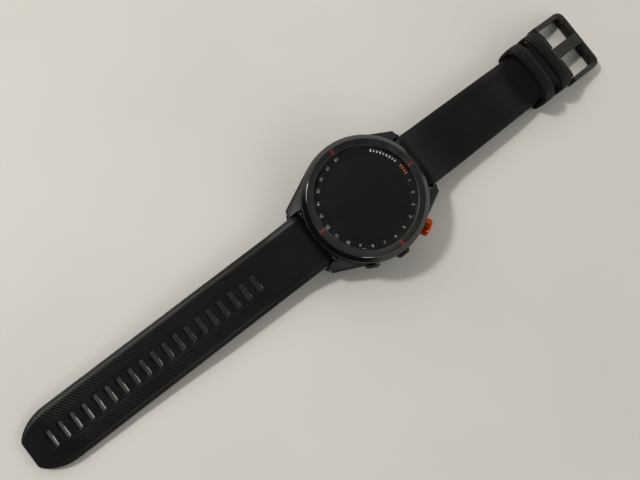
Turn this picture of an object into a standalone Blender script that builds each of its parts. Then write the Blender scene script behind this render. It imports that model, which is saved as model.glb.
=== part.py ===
"""Golf GPS wristwatch, modelled as the separate pieces it is put together from.

Frame: the origin is the centre of the sensor window's flat outer face, on the surface that the
watch lies on. +Y runs towards 12 o'clock and the buckle, +X towards 3 o'clock and the buttons,
and +Z out of the display. Lengths are in metres, written as a number of millimetres times MM.
"""

import math

import bmesh
import bpy
from mathutils import Matrix, Vector

MM = 0.001
GAP = 0.3 * MM

# Case, bezel and lens
CASE_RADIUS = 23.5 * MM
CASE_BOTTOM = 2.0 * MM
CASE_TOP = 11.0 * MM
CAVITY_RADIUS = 19.6 * MM
CAVITY_FLOOR = 3.6 * MM
CAVITY_ROOF = 10.0 * MM
DISPLAY_HOLE_RADIUS = 17.5 * MM
LENS_SEAT_RADIUS = 18.6 * MM
LENS_SEAT_TOP = 11.7 * MM
LENS_TOP = 14.0 * MM
LENS_THICKNESS = 1.3 * MM
BEZEL_BORE = LENS_SEAT_RADIUS + GAP
BEZEL_FLANK = [(23.5, 11.7), (23.35, 12.0), (22.9, 12.95), (22.45, 14.05), (22.0, 14.6), (21.5, 14.8)]
TURNED_STEPS = 48

# Lugs and the strap pins between them
LUG_GAP_HALF = 11.5 * MM
LUG_TIP_Y = 26.9 * MM
LUG_CORNER = (14.3 * MM, 25.3 * MM)
LUG_ROOT = (21.45 * MM, 10.1 * MM)
LUG_TIP_TOP = 8.0 * MM
LUG_CORNER_TOP = 7.6 * MM
LUG_NOSE_TOP = 5.4 * MM
LUG_ROOT_TOP = 10.6 * MM
LUG_BOTTOM = 2.7 * MM
CHANNEL_WALL_Y = 21.8 * MM
CHANNEL_ROOF = 9.4 * MM
LUG_PIN_Y = 25.0 * MM
LUG_PIN_HEIGHT = 5.6 * MM
LUG_PIN_RADIUS = 0.9 * MM

# Back of the case
COVER_RADIUS = 20.6 * MM
COVER_BOTTOM = 1.2 * MM
COVER_TOP = 2.7 * MM
BACK_SCREW_CIRCLE = 18.2 * MM
SENSOR_RADIUS = 8.5 * MM
SENSOR_FLAT_RADIUS = 6.5 * MM
CONTACT_Y = -14.5 * MM
CONTACT_PITCH = 2.0 * MM

# Push buttons, on the +X side, at these angles anticlockwise from +X
BUTTON_HEIGHT = 6.6 * MM
BUTTONS = {"start_button": 30, "menu_button": 0, "back_button": -30}
POCKET_FLOOR = 22.9 * MM
COUNTERBORE_RADIUS = 2.5 * MM
COUNTERBORE_FLOOR = 21.4 * MM
STEM_BORE_RADIUS = 1.75 * MM
STEM_RADIUS = 0.85 * MM
STEM_END = 18.6 * MM
GROOVE_RADIUS = 0.6 * MM
GROOVE = (18.95 * MM, 19.35 * MM)

# Straps, measured by their distance from the middle of the case: distance, underside, top side
STRAP_HALF_WIDTH = 11.2 * MM
STRAP_END_RADIUS = 2.9 * MM
LONG_STRAP_LENGTH = 148.0 * MM
LONG_STRAP_RUN = [
    (25.0, 2.7, 8.5),
    (29.0, 2.7, 7.5),
    (33.0, 2.4, 6.4),
    (38.0, 1.9, 5.6),
    (72.0, 2.0, 4.8),
    (90.0, 1.2, 3.9),
    (108.0, 0.55, 3.2),
    (126.0, 0.15, 2.8),
    (140.0, 0.0, 2.6),
    (148.0, 0.0, 2.5),
]
SHORT_STRAP_RUN = [
    (25.0, 2.7, 8.5),
    (29.0, 2.8, 7.6),
    (33.0, 2.8, 6.8),
    (38.0, 2.9, 6.3),
    (52.0, 3.2, 6.1),
    (66.0, 3.1, 5.9),
    (74.0, 2.5, 5.3),
    (80.0, 1.9, 4.7),
    (95.2, 1.9, 4.7),
]
SHORT_STRAP_TAPER = (36.0 * MM, 76.0 * MM, 0.5 * MM)
SLOT_COUNT = 19
SLOT_FIRST_Y = -49.94 * MM
SLOT_PITCH = 4.95 * MM
SLOT_LENGTH = 6.6 * MM
SLOT_WIDTH = 2.4 * MM

# Strap fastening under each strap's case end
CONNECTOR_HALF_WIDTH = 7.4 * MM
CONNECTOR_LENGTH = 8.0 * MM
LATCH_HALF_WIDTH = 4.6 * MM
LATCH_LENGTH = 7.8 * MM
LATCH_TRAVEL = 2.0 * MM
SPRING_POCKET_END = 12.1 * MM

# Buckle and keepers
BUCKLE_PIN_Y = 97.2 * MM
BUCKLE_PIN_HEIGHT = 3.8 * MM
BUCKLE_PIN_RADIUS = 0.8 * MM
BUCKLE_LOOP_RADIUS = 2.2 * MM
BUCKLE_HALF_WIDTH = 13.5 * MM
BUCKLE_WINDOW_HALF = 11.4 * MM
BUCKLE_FAR_Y = 113.0 * MM
BUCKLE_BAR_Y = 109.6 * MM
TONGUE_HALF_WIDTH = 2.4 * MM
TONGUE_TIP_Y = 110.9 * MM
KEEPER_HALF_WIDTH = 12.85 * MM
KEEPER_INNER_HALF = 11.6 * MM
KEEPER_TOP = 10.4 * MM
KEEPER_FLOOR = 1.45 * MM
KEEPER_CROWN = [(12.85, 6.0), (12.6, 7.4), (11.7, 8.7), (10.0, 9.5), (7.0, 10.05), (0.0, 10.4)]
KEEPER_VAULT = [(11.6, 6.4), (11.4, 7.3), (10.7, 8.2), (9.2, 8.85), (6.5, 9.1), (0.0, 9.3)]
KEEPER_LEAN = 0.22

FINISHES = {
    "case_polymer": ((0.016, 0.017, 0.016), 0.55, 0.0),
    "bezel_ceramic": ((0.03, 0.031, 0.03), 0.25, 0.6),
    "lens_glass": ((0.01, 0.011, 0.011), 0.08, 0.0),
    "silicone": ((0.012, 0.013, 0.012), 0.7, 0.0),
    "anodised_orange": ((0.55, 0.09, 0.02), 0.3, 0.9),
    "steel": ((0.55, 0.56, 0.56), 0.3, 1.0),
    "black_metal": ((0.03, 0.031, 0.028), 0.35, 0.9),
    "gold": ((0.8, 0.55, 0.2), 0.25, 1.0),
    "board_green": ((0.02, 0.12, 0.05), 0.5, 0.0),
    "battery_foil": ((0.35, 0.36, 0.38), 0.4, 0.7),
    "flex_amber": ((0.45, 0.2, 0.04), 0.45, 0.0),
}


def finish(name):
    """The named material, made the first time that it is asked for."""
    known = bpy.data.materials.get(name)
    if known:
        return known
    colour, roughness, metallic = FINISHES[name]
    made = bpy.data.materials.new(name)
    made.use_nodes = True
    shader = made.node_tree.nodes["Principled BSDF"]
    shader.inputs["Base Color"].default_value = (*colour, 1.0)
    shader.inputs["Roughness"].default_value = roughness
    shader.inputs["Metallic"].default_value = metallic
    return made


def add_piece(name, form, finish_name):
    """A new object from a bmesh, with outward faces, its material and smooth round sides."""
    bmesh.ops.recalc_face_normals(form, faces=form.faces)
    mesh = bpy.data.meshes.new(name)
    form.to_mesh(mesh)
    form.free()
    mesh.materials.append(finish(finish_name))
    mesh.shade_smooth()
    mesh.set_sharp_from_angle(angle=math.radians(30))
    piece = bpy.data.objects.new(name, mesh)
    bpy.context.collection.objects.link(piece)
    return piece


def bridge(form, low, high):
    """Join two rings of vertices; a ring of one vertex is a pole."""
    count = max(len(low), len(high))
    for index in range(count):
        after = (index + 1) % count
        if len(low) == 1:
            form.faces.new((low[0], high[after], high[index]))
        elif len(high) == 1:
            form.faces.new((low[index], low[after], high[0]))
        else:
            form.faces.new((low[index], low[after], high[after], high[index]))


def turned(profile, steps=TURNED_STEPS):
    """A solid of revolution about Z from (radius, height) corners, bottom to top outside."""
    form = bmesh.new()
    rings = []
    for radius, height in profile:
        if radius == 0:
            rings.append([form.verts.new((0, 0, height))])
            continue
        ring = []
        for step in range(steps):
            angle = 2 * math.pi * step / steps
            ring.append(form.verts.new((radius * math.cos(angle), radius * math.sin(angle), height)))
        rings.append(ring)
    for low, high in zip(rings, rings[1:]):
        bridge(form, low, high)
    if len(rings[0]) > 1:
        bridge(form, rings[-1], rings[0])
    return form


def lofted(sections):
    """A solid through rings of points, with its first and last ring capped."""
    form = bmesh.new()
    rings = [[form.verts.new(point) for point in section] for section in sections]
    for low, high in zip(rings, rings[1:]):
        bridge(form, low, high)
    form.faces.new(rings[0])
    form.faces.new(rings[-1])
    return form


def prism(outline, low, high):
    """An outline in the XY plane, carried from one height to another."""
    return lofted([[(x, y, low) for x, y in outline], [(x, y, high) for x, y in outline]])


def side_prism(outline, half_width):
    """An outline of (y, z) points, carried across X from side to side."""
    return lofted([[(-half_width, y, z) for y, z in outline], [(half_width, y, z) for y, z in outline]])


def block(low, high):
    """A box between two opposite corners."""
    corners = [(low[0], low[1]), (high[0], low[1]), (high[0], high[1]), (low[0], high[1])]
    return prism(corners, low[2], high[2])


def rod(radius, start, end, steps=16):
    """A round bar along Z."""
    return turned([(0, start), (radius, start), (radius, end), (0, end)], steps)


def pipe(inner, outer, start, end, steps=24):
    """A round tube along Z."""
    return turned([(inner, start), (outer, start), (outer, end), (inner, end)], steps)


def arc(centre, radius, first, last, steps):
    """Points of a circular arc, with its angles in degrees."""
    points = []
    for step in range(steps + 1):
        angle = math.radians(first + (last - first) * step / steps)
        points.append((centre[0] + radius * math.cos(angle), centre[1] + radius * math.sin(angle)))
    return points


def rounded_corner_outline(half_width, half_length, radius, steps=3):
    """A rectangle about the origin, with round corners."""
    outline = []
    for number, (side, end) in enumerate([(1, 1), (-1, 1), (-1, -1), (1, -1)]):
        centre = (side * (half_width - radius), end * (half_length - radius))
        outline += arc(centre, radius, 90 * number, 90 * (number + 1), steps)
    return outline


def moved(form, matrix):
    """The same bmesh, placed by a matrix."""
    bmesh.ops.transform(form, matrix=matrix, verts=form.verts)
    return form


def shifted(form, x=0.0, y=0.0, z=0.0):
    """The same bmesh, moved without turning."""
    return moved(form, Matrix.Translation((x, y, z)))


def combined(piece, forms, operation):
    """Cut the forms from a piece, or join them to it, one Boolean at a time."""
    for form in forms:
        tool = add_piece("tool", form, "steel")
        tool.hide_render = True
        tool.display_type = "WIRE"
        modifier = piece.modifiers.new("shape", "BOOLEAN")
        modifier.operation = operation
        modifier.object = tool
        modifier.solver = "EXACT"
        bpy.context.view_layer.update()
        shaped = bpy.data.meshes.new_from_object(piece.evaluated_get(bpy.context.evaluated_depsgraph_get()))
        piece.modifiers.clear()
        name = piece.data.name
        old = piece.data
        piece.data = shaped
        bpy.data.meshes.remove(old)
        shaped.name = name
        while len(shaped.materials) > 1:
            shaped.materials.pop()
        shaped.set_sharp_from_angle(angle=math.radians(30))
        spare = tool.data
        bpy.data.objects.remove(tool)
        bpy.data.meshes.remove(spare)
    return piece


def cut(piece, *forms):
    return combined(piece, forms, "DIFFERENCE")


def joined(piece, *forms):
    return combined(piece, forms, "UNION")


def hang_on(name, point, pieces):
    """Parent pieces to an empty that stands on their joint's axis."""
    pivot = bpy.data.objects.new(name, None)
    pivot.location = point
    bpy.context.collection.objects.link(pivot)
    for piece in pieces:
        piece.parent = pivot
        piece.matrix_parent_inverse = Matrix.Translation(-Vector(point))


def along_x(form, y, z):
    """Turn a form made about Z so that it lies along X at a place in the YZ plane."""
    return moved(form, Matrix.Translation((0, y, z)) @ Matrix.Rotation(math.pi / 2, 4, "Y"))


def outward(angle):
    """The placement that turns Z into the direction that a button points."""
    direction = Matrix.Rotation(math.radians(angle), 4, "Z") @ Matrix.Rotation(math.pi / 2, 4, "Y")
    return Matrix.Translation((0, 0, BUTTON_HEIGHT)) @ direction


def coil(radius, wire, start, end, turns, steps=10, sides=5):
    """A helical wire about Z with closed ends."""
    sections = []
    count = turns * steps
    for step in range(count + 1):
        angle = 2 * math.pi * step / steps
        height = start + wire + (end - start - 2 * wire) * step / count
        ring = []
        for side in range(sides):
            around = 2 * math.pi * side / sides
            reach = radius + wire * math.cos(around)
            ring.append((reach * math.cos(angle), reach * math.sin(angle), height + wire * math.sin(around)))
        sections.append(ring)
    return lofted(sections)


# ---------------------------------------------------------------- case, bezel and back


def make_case():
    body = add_piece(
        "case_body",
        turned(
            [
                (COVER_RADIUS + GAP, CASE_BOTTOM),
                (21.9 * MM, CASE_BOTTOM),
                (22.9 * MM, 3.2 * MM),
                (CASE_RADIUS, 5.0 * MM),
                (CASE_RADIUS, CASE_TOP - 0.4 * MM),
                (CASE_RADIUS - 0.3 * MM, CASE_TOP),
                (LENS_SEAT_RADIUS, CASE_TOP),
                (LENS_SEAT_RADIUS, LENS_SEAT_TOP),
                (DISPLAY_HOLE_RADIUS, LENS_SEAT_TOP),
                (DISPLAY_HOLE_RADIUS, CAVITY_ROOF),
                (CAVITY_RADIUS, CAVITY_ROOF),
                (CAVITY_RADIUS, CAVITY_FLOOR),
                (COVER_RADIUS + GAP, CAVITY_FLOOR),
            ]
        ),
        "case_polymer",
    )
    joined(body, *[make_lug(side, end) for side in (1, -1) for end in (1, -1)])
    bosses = []
    for angle in (45, 135, 225, 315):
        boss = rod(1.7 * MM, CAVITY_FLOOR, 6.0 * MM, 12)
        bosses.append(moved(boss, Matrix.Rotation(math.radians(angle), 4, "Z") @ radial_shift()))
    joined(body, *bosses)
    channel = LUG_TIP_Y + 5 * MM
    cut(body, *[
        block((-LUG_GAP_HALF, min(end * CHANNEL_WALL_Y, end * channel), 0),
              (LUG_GAP_HALF, max(end * CHANNEL_WALL_Y, end * channel), CHANNEL_ROOF))
        for end in (1, -1)
    ])
    for end in (1, -1):
        pin_hole = along_x(rod(LUG_PIN_RADIUS + GAP, -20 * MM, 20 * MM), end * LUG_PIN_Y, LUG_PIN_HEIGHT)
        cut(body, pin_hole)
    for angle in (45, 135, 225, 315):
        hole = rod(0.9 * MM, 3.0 * MM, 5.6 * MM, 12)
        cut(body, moved(hole, Matrix.Rotation(math.radians(angle), 4, "Z") @ radial_shift()))
    for name, angle in BUTTONS.items():
        pocket = 3.7 * MM if name == "start_button" else 3.3 * MM
        opening = turned(
            [
                (0, 18.5 * MM),
                (STEM_BORE_RADIUS, 18.5 * MM),
                (STEM_BORE_RADIUS, COUNTERBORE_FLOOR),
                (COUNTERBORE_RADIUS, COUNTERBORE_FLOOR),
                (COUNTERBORE_RADIUS, POCKET_FLOOR),
                (pocket, POCKET_FLOOR),
                (pocket, 26 * MM),
                (0, 26 * MM),
            ],
            20,
        )
        cut(body, moved(opening, outward(angle)))
    return body


def radial_shift():
    """From the middle of the case to the circle that the back screws stand on."""
    return Matrix.Translation((BACK_SCREW_CIRCLE, 0, 0))


def make_lug(side, end):
    """One horn of the case, falling away towards its tip."""
    plan = [
        (LUG_GAP_HALF - 1.5 * MM, 16.0 * MM, LUG_ROOT_TOP),
        (LUG_ROOT[0] - 4.5 * MM, 8.5 * MM, LUG_ROOT_TOP),
        (LUG_ROOT[0], LUG_ROOT[1], LUG_ROOT_TOP),
        (LUG_CORNER[0], LUG_CORNER[1], LUG_CORNER_TOP),
        (LUG_GAP_HALF, LUG_TIP_Y, LUG_NOSE_TOP),
        (LUG_GAP_HALF, LUG_TIP_Y - 1.0 * MM, LUG_TIP_TOP),
        (LUG_GAP_HALF - 1.5 * MM, 24.0 * MM, LUG_TIP_TOP + 0.8 * MM),
    ]
    low = [(side * x, end * y, LUG_BOTTOM) for x, y, top in plan]
    high = [(side * x, end * y, top) for x, y, top in plan]
    form = lofted([low, high])
    bmesh.ops.triangulate(form, faces=[face for face in form.faces if len(face.verts) > 4])
    wall = COVER_RADIUS + 1.1 * MM
    for vertex in form.verts:
        reach = vertex.co.xy.length
        if reach < wall:
            vertex.co.xy *= wall / reach
    return form


def make_lens_stack():
    add_piece(
        "bezel",
        turned(
            [
                (BEZEL_BORE, CASE_TOP + GAP),
                (CASE_RADIUS - 0.2 * MM, CASE_TOP + GAP),
                *[(radius * MM, height * MM) for radius, height in BEZEL_FLANK],
                (BEZEL_BORE, LENS_TOP),
            ]
        ),
        "bezel_ceramic",
    )
    lens_bottom = LENS_TOP - LENS_THICKNESS
    add_piece(
        "lens",
        turned(
            [
                (0, lens_bottom),
                (LENS_SEAT_RADIUS, lens_bottom),
                (LENS_SEAT_RADIUS, LENS_TOP - 0.3 * MM),
                (LENS_SEAT_RADIUS - 0.3 * MM, LENS_TOP),
                (0, LENS_TOP),
            ]
        ),
        "lens_glass",
    )
    seal = pipe(DISPLAY_HOLE_RADIUS + 0.1 * MM, LENS_SEAT_RADIUS - 0.1 * MM, 12.0 * MM, 12.4 * MM, 40)
    add_piece("lens_gasket", seal, "silicone")
    add_piece("display_panel", rod(17.1 * MM, 11.7 * MM, 12.4 * MM, 40), "lens_glass")
    ribbon = [
        (6.0, 11.35), (16.7, 11.35), (16.7, 9.15), (10.0, 9.15),
        (10.0, 9.35), (16.5, 9.35), (16.5, 11.15), (6.0, 11.15),
    ]
    add_piece("display_flex", side_prism([(y * MM, z * MM) for y, z in ribbon], 4.0 * MM), "flex_amber")


def make_electronics():
    frame = add_piece("inner_frame", pipe(5.0 * MM, 17.2 * MM, 10.4 * MM, 10.9 * MM, 40), "battery_foil")
    cut(frame, block((-4.6 * MM, 16.0 * MM, 10 * MM), (4.6 * MM, 18 * MM, 11.2 * MM)))
    board = add_piece("main_board", rod(18.4 * MM, 8.0 * MM, 8.8 * MM, 40), "board_green")
    cut(board, block((-3.0 * MM, -19 * MM, 7.5 * MM), (3.0 * MM, -15.5 * MM, 9.2 * MM)))
    add_piece("shield_can", shifted(prism(rounded_corner_outline(8 * MM, 7 * MM, 1 * MM), 9.1 * MM, 10.1 * MM),
                                    x=-2 * MM, y=-3 * MM), "steel")
    track = arc((0, 0), 19.2 * MM, 120, 420, 24) + arc((0, 0), 17.8 * MM, 420, 120, 24)
    add_piece("gps_antenna", prism(track, 9.2 * MM, 9.7 * MM), "gold")
    pack = prism(rounded_corner_outline(9 * MM, 12 * MM, 1.2 * MM), 5.1 * MM, 7.7 * MM)
    add_piece("battery", shifted(pack, x=2 * MM), "battery_foil")
    add_piece("vibration_motor", shifted(rod(4.2 * MM, 5.1 * MM, 7.7 * MM, 24), x=-13 * MM), "steel")
    add_piece("sensor_board", rod(9.0 * MM, 4.2 * MM, 4.8 * MM, 32), "board_green")


def make_back():
    cover = add_piece(
        "back_cover",
        turned(
            [
                (SENSOR_RADIUS + GAP, COVER_BOTTOM),
                (COVER_RADIUS - 1.0 * MM, COVER_BOTTOM),
                (COVER_RADIUS, COVER_BOTTOM + 0.8 * MM),
                (COVER_RADIUS, COVER_TOP),
                (SENSOR_RADIUS + GAP, COVER_TOP),
            ]
        ),
        "case_polymer",
    )
    for number, angle in enumerate((45, 135, 225, 315), 1):
        place = Matrix.Rotation(math.radians(angle), 4, "Z") @ radial_shift()
        sunk = turned(
            [(0, 0.5 * MM), (1.5 * MM, 0.5 * MM), (1.5 * MM, 2.0 * MM), (0.9 * MM, 2.0 * MM),
             (0.9 * MM, 3.2 * MM), (0, 3.2 * MM)],
            12,
        )
        cut(cover, moved(sunk, place))
        screw = turned(
            [(0, 1.3 * MM), (1.2 * MM, 1.3 * MM), (1.2 * MM, 1.8 * MM), (0.6 * MM, 1.8 * MM),
             (0.6 * MM, 5.2 * MM), (0, 5.2 * MM)],
            12,
        )
        add_piece(f"back_screw_{number}", moved(screw, place), "steel")
    cut(cover, shifted(block((-4.6 * MM, -2.1 * MM, 0), (4.6 * MM, 2.1 * MM, 4 * MM)), y=CONTACT_Y))
    add_piece("back_gasket", pipe(20.0 * MM, COVER_RADIUS, 3.0 * MM, 3.3 * MM, 40), "silicone")
    add_piece(
        "sensor_window",
        turned(
            [
                (0, 0),
                (SENSOR_FLAT_RADIUS, 0),
                (7.8 * MM, 0.35 * MM),
                (SENSOR_RADIUS, 1.0 * MM),
                (SENSOR_RADIUS, COVER_TOP + GAP),
                (10.0 * MM, COVER_TOP + GAP),
                (10.0 * MM, 3.8 * MM),
                (0, 3.8 * MM),
            ],
            40,
        ),
        "lens_glass",
    )
    socket = lofted(
        [
            [(x, CONTACT_Y + y, z) for x, y in rounded_corner_outline(half_x, half_y, 0.8 * MM, 2)]
            for half_x, half_y, z in (
                (4.3 * MM, 1.8 * MM, 1.6 * MM),
                (4.3 * MM, 1.8 * MM, COVER_TOP + GAP),
                (5.3 * MM, 2.7 * MM, COVER_TOP + GAP),
                (5.3 * MM, 2.7 * MM, 3.7 * MM),
            )
        ]
    )
    holder = add_piece("contact_block", socket, "case_polymer")
    for number in range(4):
        across = (number - 1.5) * CONTACT_PITCH
        cut(holder, shifted(rod(0.8 * MM, 1 * MM, 4.5 * MM, 12), across, CONTACT_Y))
        contact = shifted(rod(0.5 * MM, 1.5 * MM, 4.0 * MM, 12), across, CONTACT_Y)
        add_piece(f"charging_contact_{number + 1}", contact, "gold")


# ---------------------------------------------------------------- buttons


def make_button(name, angle):
    """A sprung pusher: cap with stem, coil spring, seal, sleeve, clip and the switch it presses."""
    place = outward(angle)
    if name == "start_button":
        foot = 24.0 * MM
        head = [(3.1, 24.0), (3.3, 24.3), (3.3, 26.3), (2.9, 26.9)]
        colour = "anodised_orange"
    else:
        foot = 23.8 * MM
        head = [(2.9, 23.8), (2.9, 24.5), (2.4, 24.65), (2.2, 25.25)]
        colour = "black_metal"
    profile = [
        (0, STEM_END),
        (STEM_RADIUS, STEM_END),
        (STEM_RADIUS, GROOVE[0]),
        (GROOVE_RADIUS, GROOVE[0]),
        (GROOVE_RADIUS, GROOVE[1]),
        (STEM_RADIUS, GROOVE[1]),
        (STEM_RADIUS, foot),
    ]
    profile += [(radius * MM, reach * MM) for radius, reach in head]
    profile.append((0, head[-1][1] * MM))
    cap = add_piece(f"{name}_cap", moved(turned(profile, 24), place), colour)
    outline = arc((0, 0), 1.15 * MM, 30, 330, 12) + arc((0, 0), 0.72 * MM, 330, 30, 12)
    clip = add_piece(f"{name}_clip", moved(prism(outline, 19.03 * MM, 19.27 * MM), place), "steel")
    add_piece(f"{name}_spring", moved(coil(2.1 * MM, 0.17 * MM, 21.6 * MM, foot - 0.25 * MM, 3), place), "steel")
    ring = [(1.45 * MM + y, 21.9 * MM + z) for y, z in arc((0, 0), 0.28 * MM, -180, 120, 5)]
    add_piece(f"{name}_seal", moved(turned(ring, 16), place), "silicone")
    add_piece(f"{name}_sleeve", moved(pipe(1.15 * MM, 1.45 * MM, 19.75 * MM, 21.1 * MM, 16), place), "steel")
    switch = lofted(
        [
            [(z, y, reach) for z, y in rounded_corner_outline(half_z, half_y, 0.3 * MM, 1)]
            for half_z, half_y, reach in (
                (1.1 * MM, 1.8 * MM, 16.0 * MM),
                (1.1 * MM, 1.8 * MM, 17.4 * MM),
                (0.5 * MM, 0.8 * MM, 17.4 * MM),
                (0.5 * MM, 0.8 * MM, 17.85 * MM),
            )
        ]
    )
    add_piece(f"{name}_switch", moved(switch, place), "steel")
    hang_on(f"{name}_axis", place @ Vector((0, 0, foot)), [cap, clip])


# ---------------------------------------------------------------- straps


def run_heights(run, distance):
    """The underside and top heights of a strap at a distance from the middle of the case."""
    steps = [(d * MM, low * MM, high * MM) for d, low, high in run]
    for before, after in zip(steps, steps[1:]):
        if distance <= after[0]:
            share = (distance - before[0]) / (after[0] - before[0])
            eased = share * share * (3 - 2 * share) if before[0] > 80 * MM else share
            return [a + (b - a) * eased for a, b in zip(before[1:], after[1:])]
    return steps[-1][1:]


def strap_section(y, half_width, low, high):
    """One cross-section of a strap: flat underneath, slightly crowned on top."""
    share = min(1.0, (high - low) / (2.4 * MM))
    bevel = 0.5 * MM * share
    shoulder = 0.9 * MM * share
    fall = 0.2 * MM * share
    right = [
        (half_width - bevel, low),
        (half_width, low + bevel),
        (half_width, high - shoulder),
        (half_width - shoulder, high - fall),
        (half_width * 0.5, high),
    ]
    left = [(-x, z) for x, z in reversed(right)]
    return [(x, y, z) for x, z in right + left]


def tail_half_width(distance):
    """The plan of the long strap's pointed end: a quarter of an ellipse, cut off square."""
    taper = 13.0 * MM
    start = LONG_STRAP_LENGTH - taper
    if distance <= start:
        return STRAP_HALF_WIDTH
    share = (distance - start) / (taper * 1.155)
    return STRAP_HALF_WIDTH * math.sqrt(max(0.0, 1 - share * share))


def end_arc(direction):
    """Distances and heights of a strap's round end about its lug pin, from the tip to the top."""
    stations = []
    for angle in (8, 25, 45, 67):
        turn = math.radians(angle)
        rise = STRAP_END_RADIUS * math.sin(turn)
        reach = LUG_PIN_Y - STRAP_END_RADIUS * math.cos(turn)
        stations.append((reach, LUG_PIN_HEIGHT - rise, LUG_PIN_HEIGHT + rise))
    return [(direction * reach, low, high) for reach, low, high in stations]


def pin_profile(direction, outline):
    """Points given outward and upward from a lug pin, as (y, z) points on one end of the watch."""
    return [(direction * (LUG_PIN_Y + u), LUG_PIN_HEIGHT + w) for u, w in outline]


def clear_strap_end(strap, direction):
    """Open a strap's case end for the lug pin, the connector, the latch and its spring."""
    below = -7 * MM
    axle = LUG_PIN_RADIUS + 0.35 * MM
    mouth = arc((0, 0), axle, 0, 180, 8) + [(-axle, below), (axle, below)]
    cut(strap, side_prism(pin_profile(direction, mouth), 13 * MM))
    dome = 2.25 * MM
    seat = arc((0, 0), dome, 15, 180, 8)
    seat += [(-dome, below), (CONNECTOR_LENGTH + GAP, below), (CONNECTOR_LENGTH + GAP, 0.05 * MM)]
    cut(strap, side_prism(pin_profile(direction, seat), CONNECTOR_HALF_WIDTH + 0.4 * MM))
    roof = -1.1 * MM
    channel = [(4.0 * MM, below), (SPRING_POCKET_END, below), (SPRING_POCKET_END, roof), (4.0 * MM, roof)]
    cut(strap, side_prism(pin_profile(direction, channel), LATCH_HALF_WIDTH + GAP))


def make_fastening(end, direction):
    """The connector, the sliding latch and the latch spring under one strap's case end."""
    saddle = arc((0, 0), 1.9 * MM, -9, 200, 12) + arc((0, 0), 1.2 * MM, 200, -56, 12)
    saddle += [(CONNECTOR_LENGTH, -1.0 * MM), (CONNECTOR_LENGTH, -0.3 * MM)]
    form = side_prism(pin_profile(direction, saddle), CONNECTOR_HALF_WIDTH)
    connector = add_piece(f"strap_connector_{end}", form, "black_metal")
    tab = [(-0.9, -1.3), (7.8, -1.3), (7.8, -3.0), (7.2, -3.0), (5.8, -2.2), (-0.9, -2.2)]
    tab = [(u * MM, w * MM) for u, w in tab]
    form = side_prism(pin_profile(direction, tab), LATCH_HALF_WIDTH)
    latch = add_piece(f"release_latch_{end}", form, "black_metal")
    wire = coil(0.34 * MM, 0.1 * MM, 0, SPRING_POCKET_END - LATCH_LENGTH - 0.4 * MM, 5, 8, 4)
    start = LUG_PIN_Y + LATCH_LENGTH + 0.2 * MM
    turn = Matrix.Rotation(-direction * math.pi / 2, 4, "X")
    place = Matrix.Translation((0, direction * start, LUG_PIN_HEIGHT - 1.75 * MM)) @ turn
    spring = add_piece(f"latch_spring_{end}", moved(wire, place), "steel")
    hang_on(f"latch_axis_{end}", (0, direction * start, LUG_PIN_HEIGHT - 1.75 * MM), [latch])
    return [connector, spring]


def make_lug_pin(end, direction):
    y = direction * LUG_PIN_Y
    add_piece(f"lug_pin_{end}", along_x(rod(LUG_PIN_RADIUS, -13.6 * MM, 11.9 * MM), y, LUG_PIN_HEIGHT), "steel")
    add_piece(f"lug_screw_{end}", along_x(rod(LUG_PIN_RADIUS, 12.2 * MM, 14.0 * MM), y, LUG_PIN_HEIGHT), "steel")


def make_long_strap():
    direction = -1
    sections = []
    for y, low, high in end_arc(direction):
        sections.append(strap_section(y, STRAP_HALF_WIDTH, low, high))
    distances = [25, 29, 33, 38, 46, 59, 72, 81, 90, 99, 108, 117, 126, 135, 138, 141, 143.5, 145.6, 147.2]
    for distance in distances:
        low, high = run_heights(LONG_STRAP_RUN, distance * MM)
        sections.append(strap_section(direction * distance * MM, tail_half_width(distance * MM), low, high))
    low, high = run_heights(LONG_STRAP_RUN, LONG_STRAP_LENGTH)
    inset = 0.6 * MM
    tip_half = tail_half_width(LONG_STRAP_LENGTH)
    sections.append(strap_section(direction * LONG_STRAP_LENGTH, tip_half, low + inset, high - inset))
    strap = add_piece("long_strap", lofted(sections), "silicone")
    clear_strap_end(strap, direction)
    for number in range(SLOT_COUNT):
        outline = rounded_corner_outline(SLOT_LENGTH / 2, SLOT_WIDTH / 2, 0.6 * MM, 1)
        slot = prism(outline, -1 * MM, 9 * MM)
        cut(strap, shifted(slot, y=SLOT_FIRST_Y - number * SLOT_PITCH))
    return strap


def short_half_width(distance):
    """The short strap narrows a little between the case and the keepers."""
    start, end, loss = SHORT_STRAP_TAPER
    share = max(0.0, min(1.0, (distance - start) / (end - start)))
    return STRAP_HALF_WIDTH - loss * share


def make_short_strap():
    sections = []
    for y, low, high in end_arc(1):
        sections.append(strap_section(y, STRAP_HALF_WIDTH, low, high))
    for distance in (25, 29, 33, 38, 52, 66, 74, 80, 87, 93, 95.2):
        low, high = run_heights(SHORT_STRAP_RUN, distance * MM)
        sections.append(strap_section(distance * MM, short_half_width(distance * MM), low, high))
    for angle in (125, 100, 75, 50, 25, 8):
        turn = math.radians(angle)
        rise = BUCKLE_LOOP_RADIUS * math.sin(turn)
        y = BUCKLE_PIN_Y + BUCKLE_LOOP_RADIUS * math.cos(turn)
        sections.append(strap_section(y, short_half_width(y), BUCKLE_PIN_HEIGHT - rise, BUCKLE_PIN_HEIGHT + rise))
    strap = add_piece("short_strap", lofted(sections), "silicone")
    clear_strap_end(strap, 1)
    hole = rod(BUCKLE_PIN_RADIUS + GAP, -13 * MM, 13 * MM)
    cut(strap, along_x(hole, BUCKLE_PIN_Y, BUCKLE_PIN_HEIGHT))
    notch = BUCKLE_PIN_Y - 2.3 * MM
    cut(strap, block((-2.75 * MM, notch, 0), (2.75 * MM, BUCKLE_PIN_Y + 4 * MM, 8 * MM)))
    return strap


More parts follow.
